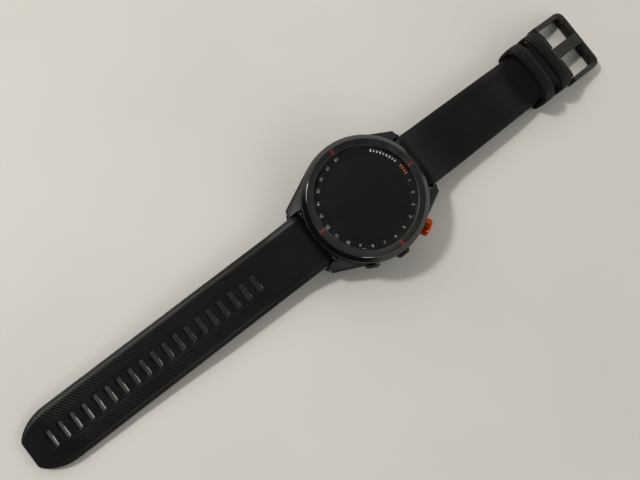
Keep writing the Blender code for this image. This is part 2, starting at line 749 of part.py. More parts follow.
def make_keeper(name, y, depth):
    """A loop round the strap: thin walls, domed on top, leaning towards the buckle."""
    outer_side = arc((KEEPER_HALF_WIDTH - 1.6 * MM, 1.6 * MM), 1.6 * MM, -90, 0, 4)
    outer_side += [(x * MM, z * MM) for x, z in KEEPER_CROWN]
    floor = KEEPER_FLOOR + 0.9 * MM
    inner_side = arc((KEEPER_INNER_HALF - 0.9 * MM, floor), 0.9 * MM, -90, 0, 4)
    inner_side += [(x * MM, z * MM) for x, z in KEEPER_VAULT]
    outer, inner = [
        side + [(-x, z) for x, z in reversed(side[:-1])] for side in (outer_side, inner_side)
    ]

    def ring(points, offset):
        return [(x, y + offset + KEEPER_LEAN * (z - KEEPER_TOP), z) for x, z in points]

    half = depth / 2
    loops = [ring(outer, -half), ring(outer, half), ring(inner, half), ring(inner, -half)]
    form = bmesh.new()
    rings = [[form.verts.new(point) for point in loop] for loop in loops]
    for low_ring, high_ring in zip(rings, rings[1:] + rings[:1]):
        bridge(form, low_ring, high_ring)
    return add_piece(name, form, "silicone")


# ---------------------------------------------------------------- buckle


def make_buckle():
    outer = 3.0 * MM
    inner = 0.8 * MM
    far = BUCKLE_FAR_Y
    outline = arc((BUCKLE_HALF_WIDTH - outer, far - outer), outer, 0, 90, 5)
    outline += arc((-BUCKLE_HALF_WIDTH + outer, far - outer), outer, 90, 180, 5)
    outline += [(-BUCKLE_HALF_WIDTH, BUCKLE_PIN_Y), (-BUCKLE_WINDOW_HALF, BUCKLE_PIN_Y)]
    bar = BUCKLE_BAR_Y
    outline += reversed(arc((-BUCKLE_WINDOW_HALF + inner, bar - inner), inner, 90, 180, 2))
    outline += reversed(arc((BUCKLE_WINDOW_HALF - inner, bar - inner), inner, 0, 90, 2))
    outline += [(BUCKLE_WINDOW_HALF, BUCKLE_PIN_Y), (BUCKLE_HALF_WIDTH, BUCKLE_PIN_Y)]

    def level(at_pin, at_far, y):
        return at_pin + (at_far - at_pin) * (y - BUCKLE_PIN_Y) / (far - BUCKLE_PIN_Y)

    bottom = [(x, y, level(2.1 * MM, 0.0, y)) for x, y in outline]
    top = [(x, y, level(5.5 * MM, 2.7 * MM, y)) for x, y in outline]
    frame = add_piece("buckle_frame", lofted([bottom, top]), "black_metal")
    for side in (1, -1):
        ends = sorted((side * BUCKLE_WINDOW_HALF, side * BUCKLE_HALF_WIDTH))
        joined(frame, along_x(rod(2.1 * MM, *ends, 20), BUCKLE_PIN_Y, BUCKLE_PIN_HEIGHT))
    cut(frame, along_x(rod(BUCKLE_PIN_RADIUS + GAP, -15 * MM, 15 * MM), BUCKLE_PIN_Y, BUCKLE_PIN_HEIGHT))
    pin = along_x(rod(BUCKLE_PIN_RADIUS, -13.2 * MM, 13.2 * MM), BUCKLE_PIN_Y, BUCKLE_PIN_HEIGHT)
    rod_piece = add_piece("buckle_pin", pin, "steel")

    knuckle = arc((0, 0), 1.9 * MM, 60, 330, 12)
    blade = [
        (TONGUE_TIP_Y - BUCKLE_PIN_Y, -0.35 * MM),
        (TONGUE_TIP_Y - BUCKLE_PIN_Y + 0.2 * MM, 0.3 * MM),
        (TONGUE_TIP_Y - BUCKLE_PIN_Y - 0.4 * MM, 0.8 * MM),
    ]
    side_view = [(BUCKLE_PIN_Y + u, BUCKLE_PIN_HEIGHT + w) for u, w in knuckle + blade]
    tongue = add_piece("buckle_tongue", side_prism(side_view, TONGUE_HALF_WIDTH), "case_polymer")
    hole = rod(BUCKLE_PIN_RADIUS + GAP, -5 * MM, 5 * MM)
    cut(tongue, along_x(hole, BUCKLE_PIN_Y, BUCKLE_PIN_HEIGHT))
    return frame, tongue, rod_piece


def build():
    for item in list(bpy.data.objects):
        bpy.data.objects.remove(item)
    make_case()
    make_lens_stack()
    make_electronics()
    make_back()
    for name, angle in BUTTONS.items():
        make_button(name, angle)
    for end, direction in (("long", -1), ("short", 1)):
        make_lug_pin(end, direction)
    long_group = [make_long_strap()] + make_fastening("long", -1)
    short_group = [make_short_strap()] + make_fastening("short", 1)
    free = make_keeper("keeper_free", 84.2 * MM, 4.6 * MM)
    short_group.append(make_keeper("keeper_fixed", 92.3 * MM, 4.4 * MM))
    frame, tongue, pin = make_buckle()
    short_group.append(pin)
    hang_on("long_strap_axis", (0, -LUG_PIN_Y, LUG_PIN_HEIGHT), long_group)
    hang_on("short_strap_axis", (0, LUG_PIN_Y, LUG_PIN_HEIGHT), short_group)
    hang_on("keeper_axis", (0, 84.2 * MM, 5.0 * MM), [free])
    hang_on("buckle_axis", (0, BUCKLE_PIN_Y, BUCKLE_PIN_HEIGHT), [frame, tongue])


build()
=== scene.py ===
"""Looks of the golf GPS watch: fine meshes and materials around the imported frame.

Frame: +Y towards 12 o'clock and the buckle, +X towards the buttons, +Z out of the display.
Shapes are worked out in millimetres, and as_mesh() turns them into metres.
"""

import math

import bmesh
import bpy
from mathutils import Matrix, Vector


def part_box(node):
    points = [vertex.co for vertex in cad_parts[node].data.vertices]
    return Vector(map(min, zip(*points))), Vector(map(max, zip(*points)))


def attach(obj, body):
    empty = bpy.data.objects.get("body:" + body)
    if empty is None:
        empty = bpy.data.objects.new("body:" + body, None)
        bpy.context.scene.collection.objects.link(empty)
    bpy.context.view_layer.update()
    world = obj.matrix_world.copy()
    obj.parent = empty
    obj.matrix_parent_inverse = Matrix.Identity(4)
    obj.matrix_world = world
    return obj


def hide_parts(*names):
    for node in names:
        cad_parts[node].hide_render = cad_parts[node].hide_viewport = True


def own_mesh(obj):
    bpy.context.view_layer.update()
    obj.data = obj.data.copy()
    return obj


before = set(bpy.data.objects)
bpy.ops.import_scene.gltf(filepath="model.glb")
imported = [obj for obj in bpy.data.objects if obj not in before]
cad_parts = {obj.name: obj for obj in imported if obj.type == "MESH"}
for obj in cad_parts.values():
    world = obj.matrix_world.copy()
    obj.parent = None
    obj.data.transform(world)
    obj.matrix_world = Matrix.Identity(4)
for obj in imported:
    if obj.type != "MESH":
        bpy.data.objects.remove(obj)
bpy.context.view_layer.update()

MM = 0.001


def box(node):
    """A node's lowest and highest corners at rest, in millimetres."""
    low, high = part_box(node)
    return low / MM, high / MM


def middle(node):
    low, high = box(node)
    return (low + high) / 2


# Sizes read from the frame
BEZEL_RADIUS = box("bezel")[1].x
BEZEL_BOTTOM = box("bezel")[0].z
BEZEL_TOP = box("bezel")[1].z
LENS_RADIUS = box("lens")[1].x
LENS_BOTTOM = box("lens")[0].z
LENS_TOP = box("lens")[1].z
CASE_BOTTOM = box("back_cover")[1].z - 0.7
CASE_TOP = BEZEL_BOTTOM - 0.3
COVER_RADIUS = box("back_cover")[1].x
LUG_PIN_Y = middle("lug_pin_short").y
LUG_PIN_HEIGHT = middle("lug_pin_short").z
BUTTON_HEIGHT = middle("menu_button_cap").z
STRAP_HALF = box("long_strap")[1].x
TAIL_Y = -box("long_strap")[0].y
BUCKLE_PIN_Y = middle("buckle_pin").y
BUCKLE_PIN_HEIGHT = middle("buckle_pin").z
BUCKLE_HALF = box("buckle_frame")[1].x
BUCKLE_FAR = box("buckle_frame")[1].y
BUTTONS = {"start_button": 30, "menu_button": 0, "back_button": -30}
PRINT_LEVEL = LENS_BOTTOM - 0.08

# ---------------------------------------------------------------- materials

MATERIALS = {}


class Nodes:
    """Short ways to add and link the nodes of one tree."""

    def __init__(self, tree):
        self.tree = tree

    def add(self, kind, inputs=None, **settings):
        node = self.tree.nodes.new(kind)
        for key, value in settings.items():
            setattr(node, key, value)
        for socket, value in (inputs or {}).items():
            node.inputs[socket].default_value = value
        return node

    def link(self, source, target):
        self.tree.links.new(source, target)


class Paint(Nodes):
    """One node-based material, with short ways to add texture to its Principled shader."""

    def __init__(self, name, colour, roughness, metallic=0.0, **sockets):
        material = bpy.data.materials.new(name)
        MATERIALS[name] = material
        material.use_nodes = True
        super().__init__(material.node_tree)
        self.shader = self.tree.nodes["Principled BSDF"]
        self.shader.inputs["Base Color"].default_value = (*colour, 1.0)
        self.shader.inputs["Roughness"].default_value = roughness
        self.shader.inputs["Metallic"].default_value = metallic
        for socket, value in sockets.items():
            self.shader.inputs[socket.replace("_", " ")].default_value = value
        self.place = self.add("ShaderNodeTexCoord").outputs["Object"]

    def stretched(self, scale):
        """The object's coordinates, scaled unevenly so that a texture runs along one axis."""
        node = self.add("ShaderNodeMapping", {"Scale": scale})
        self.link(self.place, node.inputs["Vector"])
        return node.outputs["Vector"]

    def noise(self, scale, detail, place=None):
        node = self.add("ShaderNodeTexNoise", {"Scale": scale, "Detail": detail})
        self.link(place or self.place, node.inputs["Vector"])
        return node.outputs["Fac"]

    def colour(self, value, dark, light, start=0.3, end=0.7):
        """Two colours, blended where the value lies between start and end."""
        node = self.add("ShaderNodeValToRGB")
        for element, position, colour in zip(node.color_ramp.elements, (start, end), (dark, light)):
            element.position = position
            element.color = (*colour, 1.0)
        self.link(value, node.inputs["Fac"])
        self.link(node.outputs["Color"], self.shader.inputs["Base Color"])
        return self

    def rough(self, value, low, high):
        limits = {"From Min": 0.3, "From Max": 0.7, "To Min": low, "To Max": high}
        node = self.add("ShaderNodeMapRange", limits)
        self.link(value, node.inputs["Value"])
        self.link(node.outputs["Result"], self.shader.inputs["Roughness"])
        return self

    def bump(self, value, height, strength=1.0):
        """Relief of a height in millimetres, on top of any bump that is there already."""
        node = self.add("ShaderNodeBump", {"Distance": height * MM, "Strength": strength})
        self.link(value, node.inputs["Height"])
        normal = self.shader.inputs["Normal"]
        if normal.is_linked:
            self.link(normal.links[0].from_socket, node.inputs["Normal"])
        self.link(node.outputs["Normal"], normal)
        return self


def textured(name, colour, rough, metallic=0.0, grains=(), **sockets):
    """Cloudy colour and roughness, and fine relief.

    colour is (scale, detail, dark, light), rough is (scale, detail, low, high), and a grain is the
    scale, the detail and the height of one bump, and its strength if under 1.
    """
    between = [(low + high) / 2 for low, high in zip(*colour[2:])]
    paint = Paint(name, between, sum(rough[2:]) / 2, metallic, **sockets)
    paint.colour(paint.noise(*colour[:2]), *colour[2:])
    paint.rough(paint.noise(*rough[:2]), *rough[2:])
    for scale, detail, *relief in grains:
        paint.bump(paint.noise(scale, detail), *relief)


def mottled(name, scale, dark, light, roughness, *rest, **sockets):
    """Blotches that change colour and roughness together, on a surface that has been handled."""
    textured(name, (scale, 4.0, dark, light), (scale, 4.0, *roughness), *rest, **sockets)


def make_cloudy_materials():
    mottled("silicone", 90, (0.0040, 0.0045, 0.0043), (0.0062, 0.0068, 0.0064), (0.41, 0.47),
            grains=[(5200, 3.0, 0.010), (650, 2.0, 0.008, 0.5)], Specular_IOR_Level=0.16)
    mottled("case_polymer", 160, (0.0052, 0.0056, 0.0052), (0.0078, 0.0082, 0.0076), (0.38, 0.5),
            grains=[(4200, 4.0, 0.014)], Specular_IOR_Level=0.16)
    mottled("black_polymer", 600, (0.012, 0.0125, 0.012), (0.02, 0.0205, 0.02), (0.36, 0.5),
            grains=[(4200, 3.0, 0.01)])
    mottled("seal_rubber", 800, (0.016, 0.016, 0.016), (0.028, 0.028, 0.028), (0.5, 0.68))

    mottled("red_enamel", 1500, (0.11, 0.014, 0.016), (0.22, 0.030, 0.032), (0.18, 0.34))
    mottled("print_white", 3000, (0.34, 0.35, 0.34), (0.5, 0.51, 0.5), (0.5, 0.65))
    mottled("print_orange", 3000, (0.35, 0.09, 0.02), (0.5, 0.15, 0.04), (0.5, 0.65))
    # The border black is print; on the bezel's inner rim the same dull black is painted shade of the gap
    # beside the glass.
    for name, scale in (("display_black", 260), ("black_print_and_gap_shade", 900)):
        mottled(name, scale, (0.0032, 0.0034, 0.0033), (0.0042, 0.0045, 0.0043), (0.28, 0.38),
                Specular_IOR_Level=0.1)
    mottled("sensor_eye", 4000, (0.012, 0.04, 0.03), (0.03, 0.085, 0.06), (0.14, 0.26),
            Coat_Weight=0.6, Coat_Roughness=0.05)

    textured("sensor_gloss", (500, 3.0, (0.005, 0.005, 0.006), (0.009, 0.009, 0.010)), (700, 4.0, 0.05, 0.14),
             Coat_Weight=0.5, Coat_Roughness=0.03)

    textured("anodised_orange", (2600, 2.0, (0.32, 0.034, 0.007), (0.5, 0.068, 0.013)),
             (1400, 4.0, 0.12, 0.26), 1.0, [(2600, 2.0, 0.004)])
    mottled("black_metal", 420, (0.016, 0.0168, 0.0145), (0.030, 0.031, 0.027), (0.28, 0.42), 0.8,
            [(3800, 3.0, 0.004)])
    mottled("tongue_black", 500, (0.010, 0.0104, 0.0098), (0.016, 0.0165, 0.0155), (0.42, 0.58), 0.5,
            [(3800, 3.0, 0.005)])
    mottled("gold", 1800, (0.72, 0.47, 0.16), (0.9, 0.62, 0.25), (0.16, 0.3), 1.0)
    mottled("battery_foil", 700, (0.3, 0.31, 0.33), (0.42, 0.43, 0.45), (0.3, 0.46), 0.75,
            [(600, 3.0, 0.02)])
    mottled("frame_alloy", 900, (0.34, 0.35, 0.36), (0.46, 0.47, 0.48), (0.36, 0.5), 0.9)


def make_bezel_materials():
    satin = Paint("bezel_satin", (0.03, 0.032, 0.03), 0.34, 0.75, Anisotropic=0.6)
    round_axis = satin.add("ShaderNodeTangent", direction_type="RADIAL", axis="Z")
    satin.link(round_axis.outputs["Tangent"], satin.shader.inputs["Tangent"])
    reach = satin.add("ShaderNodeVectorMath", operation="LENGTH")
    satin.link(satin.stretched((1.0, 1.0, 0.0)), reach.inputs[0])
    rings = satin.add("ShaderNodeTexNoise", {"Scale": 9000, "Detail": 3.0}, noise_dimensions="1D")
    satin.link(reach.outputs["Value"], rings.inputs["W"])
    satin.colour(rings.outputs["Fac"], (0.028, 0.030, 0.028), (0.048, 0.050, 0.046))
    satin.rough(satin.noise(300, 3.0), 0.28, 0.4).bump(rings.outputs["Fac"], 0.004)

    textured("bezel_polished", (200, 3.0, (0.0035, 0.0037, 0.0035), (0.0055, 0.0057, 0.0055)),
             (420, 4.0, 0.05, 0.13), grains=[(1500, 2.0, 0.0012)], Specular_IOR_Level=0.75)

    lip = Paint("lip_metal", (0.03, 0.031, 0.03), 0.32, 0.9)
    lip.rough(lip.noise(900, 3.0), 0.26, 0.4)


def make_lens_glass():
    """Clear glass that lets the lamps through to the printing behind it."""
    glass = Paint("lens_glass", (0.9, 0.92, 0.91), 0.03, Transmission_Weight=1.0, IOR=1.36)
    glass.rough(glass.noise(160, 4.0), 0.015, 0.06)
    clear = glass.add("ShaderNodeBsdfTransparent")
    path = glass.add("ShaderNodeLightPath")
    mixed = glass.add("ShaderNodeMixShader")
    glass.link(path.outputs["Is Shadow Ray"], mixed.inputs["Fac"])
    glass.link(glass.shader.outputs["BSDF"], mixed.inputs[1])
    glass.link(clear.outputs["BSDF"], mixed.inputs[2])
    glass.link(mixed.outputs["Shader"], glass.tree.nodes["Material Output"].inputs["Surface"])


def make_steel():
    steel = Paint("steel", (0.5, 0.51, 0.51), 0.3, 1.0)
    lines = steel.noise(1.0, 3.0, steel.stretched((400.0, 6000.0, 6000.0)))
    steel.colour(lines, (0.42, 0.43, 0.43), (0.6, 0.61, 0.61)).rough(lines, 0.22, 0.38).bump(lines, 0.002)


def make_board_green():
    board = Paint("board_green", (0.015, 0.10, 0.045), 0.4)
    tracks = board.add("ShaderNodeTexBrick", {
        "Scale": 260,
        "Mortar Size": 0.03,
        "Color1": (0.010, 0.085, 0.038, 1),
        "Color2": (0.014, 0.100, 0.045, 1),
        "Mortar": (0.05, 0.19, 0.09, 1),
    })
    board.link(board.place, tracks.inputs["Vector"])
    board.link(tracks.outputs["Color"], board.shader.inputs["Base Color"])
    board.rough(board.noise(900, 3.0), 0.32, 0.46)


def make_flex_amber():
    flex = Paint("flex_amber", (0.42, 0.19, 0.035), 0.4)
    stripes = flex.add("ShaderNodeTexWave", {"Scale": 420}, bands_direction="X")
    flex.link(flex.place, stripes.inputs["Vector"])
    flex.colour(stripes.outputs["Fac"], (0.36, 0.15, 0.03), (0.52, 0.26, 0.06), 0.4, 0.6)
    flex.rough(flex.noise(800, 3.0), 0.32, 0.46)


def make_materials():
    make_cloudy_materials()
    make_bezel_materials()
    make_lens_glass()
    make_steel()
    make_board_green()
    make_flex_amber()


# ---------------------------------------------------------------- mesh making


def linked(name, data):
    thing = bpy.data.objects.new(name, data)
    bpy.context.scene.collection.objects.link(thing)
    return thing


def as_mesh(form, name):
    """A mesh in metres from a form in millimetres, with its faces pointing out."""
    bmesh.ops.recalc_face_normals(form, faces=form.faces)
    form.transform(Matrix.Scale(MM, 4))
    mesh = bpy.data.meshes.new(name)
    form.to_mesh(mesh)
    form.free()
    return mesh


def evaluated_mesh(thing):
    bpy.context.view_layer.update()
    graph = bpy.context.evaluated_depsgraph_get()
    return bpy.data.meshes.new_from_object(thing.evaluated_get(graph))


def shade(mesh, sharp=32):
    """Smooth shading, apart from edges sharper than an angle in degrees."""
    mesh.shade_smooth()
    mesh.set_sharp_from_angle(angle=math.radians(sharp))


def new_piece(name, form, *material_names, sharp=32):
    mesh = as_mesh(form, name)
    for material_name in material_names:
        mesh.materials.append(MATERIALS[material_name])
    shade(mesh, sharp)
    return linked(name, mesh)


def settle(piece, body, slot, *nodes):
    """Attach a piece to the empty of the body it rides on, and hide the nodes it stands for; the finish
    (slot) is not used.
    """
    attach(piece, body)
    if nodes:
        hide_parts(*nodes)
    return piece


def add_piece(name, form, material_name, body, slot, *nodes, sharp=32):
    return settle(new_piece(name, form, material_name, sharp=sharp), body, slot, *nodes)


def bridge(form, low, high, material=0):
    """Faces between two rings of the same length, or between a ring and a single point."""
    count = max(len(low), len(high))
    for index in range(count):
        after = (index + 1) % count
        if len(low) == 1:
            corners = (low[0], high[after], high[index])
        elif len(high) == 1:
            corners = (low[index], low[after], high[0])
        else:
            corners = (low[index], low[after], high[after], high[index])
        form.faces.new(corners).material_index = material


def lofted(sections):
    form = bmesh.new()
    rings = [[form.verts.new(point) for point in section] for section in sections]
    for low, high in zip(rings, rings[1:]):
        bridge(form, low, high)
    form.faces.new(rings[0])
    form.faces.new(rings[-1])
    return form


def arc(centre, radius, first, last, steps):
    points = []
    for step in range(steps + 1):
        angle = math.radians(first + (last - first) * step / steps)
        points.append((centre[0] + radius * math.cos(angle), centre[1] + radius * math.sin(angle)))
    return points


def softened(corners, radius, steps=3, closed=True):
    """A polygon with its corners rounded; a corner may carry a radius of its own as a third value."""
    points = []
    count = len(corners)
    for index, corner in enumerate(corners):
        here = Vector(corner[:2])
        reach = corner[2] if len(corner) > 2 else radius
        at_end = not closed and index in (0, count - 1)
        if at_end or reach <= 0:
            points.append(tuple(here))
            continue
        before = Vector(corners[index - 1][:2]) - here
        after = Vector(corners[(index + 1) % count][:2]) - here
        reach = min(reach, before.length * 0.45, after.length * 0.45)
        start = here + before.normalized() * reach
        end = here + after.normalized() * reach
        for step in range(steps + 1):
            share = step / steps
            back = 1 - share
            points.append(tuple(start * back ** 2 + here * 2 * share * back + end * share ** 2))
    return points


def rounded_box(half_x, half_y, radius, steps):
    corners = [(half_x, half_y), (-half_x, half_y), (-half_x, -half_y), (half_x, -half_y)]
    return softened(corners, radius, steps)


def turned(profile, steps=160, material_at=None, flute=None):
    """A solid of revolution about Z from (radius, height) points.

    material_at gives the material number of the band that starts at a profile point, and flute
    scales a point's radius by its angle.
    """
    form = bmesh.new()
    rings = []
    for radius, height in profile:
        if radius == 0:
            rings.append([form.verts.new((0, 0, height))])
            continue
        ring = []
        for step in range(steps):
            angle = 2 * math.pi * step / steps
            reach = radius * flute(angle, radius, height) if flute else radius
            ring.append(form.verts.new((reach * math.cos(angle), reach * math.sin(angle), height)))
        rings.append(ring)
    pairs = list(zip(rings, rings[1:]))
    if len(rings[0]) > 1:
        pairs.append((rings[-1], rings[0]))
    for index, (low, high) in enumerate(pairs):
        after = (index + 1) % len(profile)
        bridge(form, low, high, material_at(*profile[index], *profile[after]) if material_at else 0)
    return form


def rod(radius, half_length, steps=40):
    return turned([(0, -half_length), (radius, -half_length), (radius, half_length), (0, half_length)], steps)


def prism(outline, low, high):
    return lofted([[(x, y, low) for x, y in outline], [(x, y, high) for x, y in outline]])


def side_prism(outline, half_width):
    """An outline of (y, z) points, carried across X."""
    return lofted([[(x, y, z) for y, z in outline] for x in (-half_width, half_width)])


def block(low, high):
    corners = [(low[0], low[1]), (high[0], low[1]), (high[0], high[1]), (low[0], high[1])]
    return prism(corners, low[2], high[2])


def placed(form, matrix):
    form.transform(matrix)
    return form


def joined(forms):
    """One form with the faces of several."""
    result = bmesh.new()
    for form in forms:
        spare = bpy.data.meshes.new("spare")
        form.to_mesh(spare)
        form.free()
        result.from_mesh(spare)
        bpy.data.meshes.remove(spare)
    return result


def eased_edges(form, width, steps=2, angle=25):
    """Round the edges of a form that are sharper than an angle in degrees."""
    bmesh.ops.recalc_face_normals(form, faces=form.faces)
    limit = math.radians(angle)
    edges = [edge for edge in form.edges if len(edge.link_faces) == 2 and edge.calc_face_angle(0) > limit]
    bmesh.ops.bevel(form, geom=edges, offset=width, segments=steps, profile=0.5, affect="EDGES",
                    clamp_overlap=True)
    return form


def shaped(piece, operation, *forms, solver="EXACT"):
    """Cut forms from a piece or join them to it, and keep the result as its mesh."""
    for form in forms:
        tool = linked("tool", as_mesh(form, "tool"))
        for material in piece.data.materials:
            tool.data.materials.append(material)
        modifier = piece.modifiers.new("shape", "BOOLEAN")
        modifier.operation = operation
        modifier.object = tool
        modifier.solver = solver
        result = evaluated_mesh(piece)
        piece.modifiers.clear()
        old = piece.data
        result.name = old.name + "_shaped"
        piece.data = result
        for spare in (old, tool.data):
            bpy.data.meshes.remove(spare)
    shade(piece.data)
    return piece


def cad_form(node):
    """A CAD node's own shape, in millimetres, with its triangles welded."""
    form = bmesh.new()
    form.from_mesh(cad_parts[node].data)
    form.transform(Matrix.Scale(1 / MM, 4))
    bmesh.ops.remove_doubles(form, verts=form.verts, dist=0.002)
    return form


def refined(node, finish, width, body):
    """A piece with the CAD node's own shape, cleared of flat seams and given soft edges."""
    form = cad_form(node)
    bmesh.ops.dissolve_limit(form, angle_limit=math.radians(1.5), verts=form.verts, edges=form.edges)
    eased_edges(form, width, 2, 30)
    add_piece(f"{node}_look", form, finish, body, finish, node)


def sprung(node, body):
    """A coil spring with the CAD node's own shape, on a mesh of its own."""
    spring = add_piece(f"{node}_look", cad_form(node), "steel", body, "steel", node, sharp=60)
    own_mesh(spring)


def across(y, z):
    """The placement that turns Z into X at a pin's place."""
    return Matrix.Translation((0, y, z)) @ Matrix.Rotation(math.pi / 2, 4, "Y")


def outward(angle):
    """The placement that turns Z into the direction that a button points."""
    direction = Matrix.Rotation(math.radians(angle), 4, "Z") @ Matrix.Rotation(math.pi / 2, 4, "Y")
    return Matrix.Translation((0, 0, BUTTON_HEIGHT)) @ direction


def smooth_step(value):
    value = max(0.0, min(1.0, value))
    return value * value * (3 - 2 * value)


# ---------------------------------------------------------------- case

LUG_GAP_HALF = 11.5


def lug_form(side, end):
    """One horn: a faceted block that falls away and narrows towards its tip."""
    low = 2.7
    waist = 0.9
    # Corners of the plan: x, y, the crest's height, and how far the crest stands back in x and y
    plan = [
        (11.0, 18.6, 10.6, 0, 0),
        (17.4, 8.6, 10.6, 0, 0),
        (21.5, 10.15, 10.5, 0.9, 0.2),
        (14.4, 25.3, 7.7, 0.85, 0.45),
        (LUG_GAP_HALF, 26.9, 5.6, 0, 0.35),
        (LUG_GAP_HALF, 25.9, 8.0, 0, 0),
        (11.0, 24.0, 8.9, 0, 0),
    ]
    form = lofted([
        [(side * x, end * y, low) for x, y, *rest in plan],
        [(side * x, end * y, top - waist) for x, y, top, *rest in plan],
        [(side * (x - back_x), end * (y - back_y), top) for x, y, top, back_x, back_y in plan],
    ])
    bmesh.ops.triangulate(form, faces=[face for face in form.faces if len(face.verts) > 4])
    return eased_edges(form, 0.22, 2, 24)


def make_case():
    inner = COVER_RADIUS + 0.3
    outside = [(inner, CASE_BOTTOM), (21.9, CASE_BOTTOM, 0.5), (23.0, 3.3, 0.8), (23.5, 5.2, 0.8)]
    groove = [(23.5, 8.9), (23.3, 9.0, 0.05), (23.3, 9.25, 0.05), (23.5, 9.35)]
    top = [(23.5, CASE_TOP, 0.25), (LENS_RADIUS, CASE_TOP, 0), (LENS_RADIUS, 11.7), (17.5, 11.7)]
    inside = [(17.5, 10.0, 0), (19.6, 10.0, 0), (19.6, 3.6, 0), (inner, 3.6, 0)]
    wall = softened(outside + groove + top + inside, 0.1, 2)
    case = new_piece("case_shell", turned(wall, 144), "case_polymer")
    shaped(case, "UNION", *[lug_form(side, end) for side in (1, -1) for end in (1, -1)])
    for end in (1, -1):
        near, far = sorted((end * 21.8, end * 32))
        strap_gap = block((-LUG_GAP_HALF, near, 0), (LUG_GAP_HALF, far, 9.4))
        pin_hole = placed(rod(1.2, 20, 32), across(end * LUG_PIN_Y, LUG_PIN_HEIGHT))
        shaped(case, "DIFFERENCE", strap_gap, pin_hole)
    for name, angle in BUTTONS.items():
        pocket = 3.75 if name == "start_button" else 3.35
        opening = [(0, 18.4), (1.75, 18.4), (1.75, 21.4), (2.5, 21.4), (2.5, 22.7), (pocket - 0.25, 22.7),
                   (pocket, 22.95), (pocket + 0.1, 26), (0, 26)]
        shaped(case, "DIFFERENCE", placed(turned(opening, 48), outward(angle)))
    settle(case, "case", "case_polymer", "case_body")


def make_bezel():
    ridge = BEZEL_RADIUS - 2.0
    inner_edge = (LENS_RADIUS + 0.55, LENS_TOP + 0.12)
    outline = [
        (LENS_RADIUS + 0.3, BEZEL_BOTTOM, 0.05),
        (BEZEL_RADIUS - 0.15, BEZEL_BOTTOM, 0.1),
        (BEZEL_RADIUS - 0.05, BEZEL_BOTTOM + 0.75, 0.2),
        (BEZEL_RADIUS - 0.1, BEZEL_BOTTOM + 1.7, 0.25),
        (ridge, BEZEL_TOP, 0.28),
        (*inner_edge, 0.15),
        (LENS_RADIUS + 0.3, LENS_TOP - 0.1, 0.08),
    ]

    def zone(radius, height, next_radius, next_height):
        """Satin on the top slope, polish outside the ridge, and on the inner rim a dull black that paints in
        the dark shade of the gap beside the glass.
        """
        if max(radius, next_radius) > ridge + 0.02:
            return 1
        return 2 if min(radius, next_radius) < LENS_RADIUS + 0.5 else 0

    form = turned(softened(outline, 0.1, 5), 256, zone)
    # The third material is painted shade: it darkens the inner rim like the shadowed gap between the bezel
    # and the glass.
    ring = new_piece("bezel_ring", form, "bezel_satin", "bezel_polished", "black_print_and_gap_shade", sharp=40)
    settle(ring, "case", "bezel_ceramic", "bezel")

    near, far = BEZEL_RADIUS - 1.2, BEZEL_RADIUS + 0.12
    low, high = CASE_TOP + 0.03, BEZEL_BOTTOM - 0.05
    lip = softened([(near, low, 0), (far, low, 0.06), (far, high, 0.06), (near, high, 0)], 0.05, 3)
    add_piece("bezel_lip", turned(lip, 256), "lip_metal", "case", "bezel_ceramic")
    make_bezel_marks(Vector(inner_edge), Vector((ridge - 0.1, BEZEL_TOP - 0.03)))


def make_bezel_marks(inner, outer):
    """Four red inlays on the satin slope, at the quarter hours."""
    half = 0.5
    base = -0.1
    # Share of the way out, half width, and height over the slope
    stations = ((0.02, half * 0.8, -0.03), (0.04, half, 0.035), (0.5, half, 0.04), (0.96, half, 0.035),
                (0.99, half * 0.8, -0.03))
    marks = []
    for quarter in range(4):
        sections = []
        for share, width, lift in stations:
            spot = inner.lerp(outer, share)
            right = [(width * 0.8, lift), (width, lift - 0.01), (width, base)]
            corners = [(-x, z) for x, z in reversed(right)] + right
            sections.append([(x, spot.x, spot.y + z) for x, z in corners])
        marks.append(placed(lofted(sections), Matrix.Rotation(math.pi / 2 * quarter, 4, "Z")))
    add_piece("bezel_marks", joined(marks), "red_enamel", "case", "bezel_ceramic")


# ---------------------------------------------------------------- display


def make_lens():
    edge = 0.28
    profile = [(0, LENS_BOTTOM), (LENS_RADIUS, LENS_BOTTOM), (LENS_RADIUS, LENS_TOP - edge)]
    profile += arc((LENS_RADIUS - edge, LENS_TOP - edge), edge, 15, 90, 5)
    profile += [(LENS_RADIUS * 0.5, LENS_TOP), (0, LENS_TOP)]
    add_piece("lens_crystal", turned(profile, 192), "lens_glass", "case", "lens_glass", "lens")
    top = box("display_panel")[1]
    low = top.z - 0.7
    panel = softened([(0, low), (top.x, low), (top.x, top.z), (0, top.z)], 0.05, 2, closed=False)
    add_piece("display_face", turned(panel, 128), "display_black", "case", "display_black", "display_panel")


def make_border():
    """The black border printed behind the glass."""
    outer = LENS_RADIUS - 0.05
    inner = 16.2
    low = PRINT_LEVEL - 0.05
    border = turned([(inner, low), (outer, low), (outer, PRINT_LEVEL), (inner, PRINT_LEVEL)], 160)
    add_piece("lens_border", border, "black_print_and_gap_shade", "case", "display_black")


def make_numerals():
    """Numbers 1 to 18, one every 15 degrees clockwise, with their tops towards the middle."""
    radius = 17.45
    form = bmesh.new()
    for number in range(1, 19):
        words = bpy.data.curves.new(f"numeral_{number}", "FONT")
        words.body = str(number)
        words.size = 1.45
        words.align_x = "CENTER"
        words.align_y = "CENTER"
        words.extrude = 0.02
        words.space_character = 1.05
        carrier = linked("carrier", words)
        letters = evaluated_mesh(carrier)
        clockwise = math.radians(15 * number)
        spot = (radius * math.sin(clockwise), radius * math.cos(clockwise), PRINT_LEVEL + 0.025)
        letters.transform(Matrix.Translation(spot) @ Matrix.Rotation(math.pi - clockwise, 4, "Z"))
        form.from_mesh(letters)
        bpy.data.meshes.remove(letters)
        bpy.data.objects.remove(carrier)
        bpy.data.curves.remove(words)
    add_piece("lens_numerals", form, "print_white", "case", "display_black")


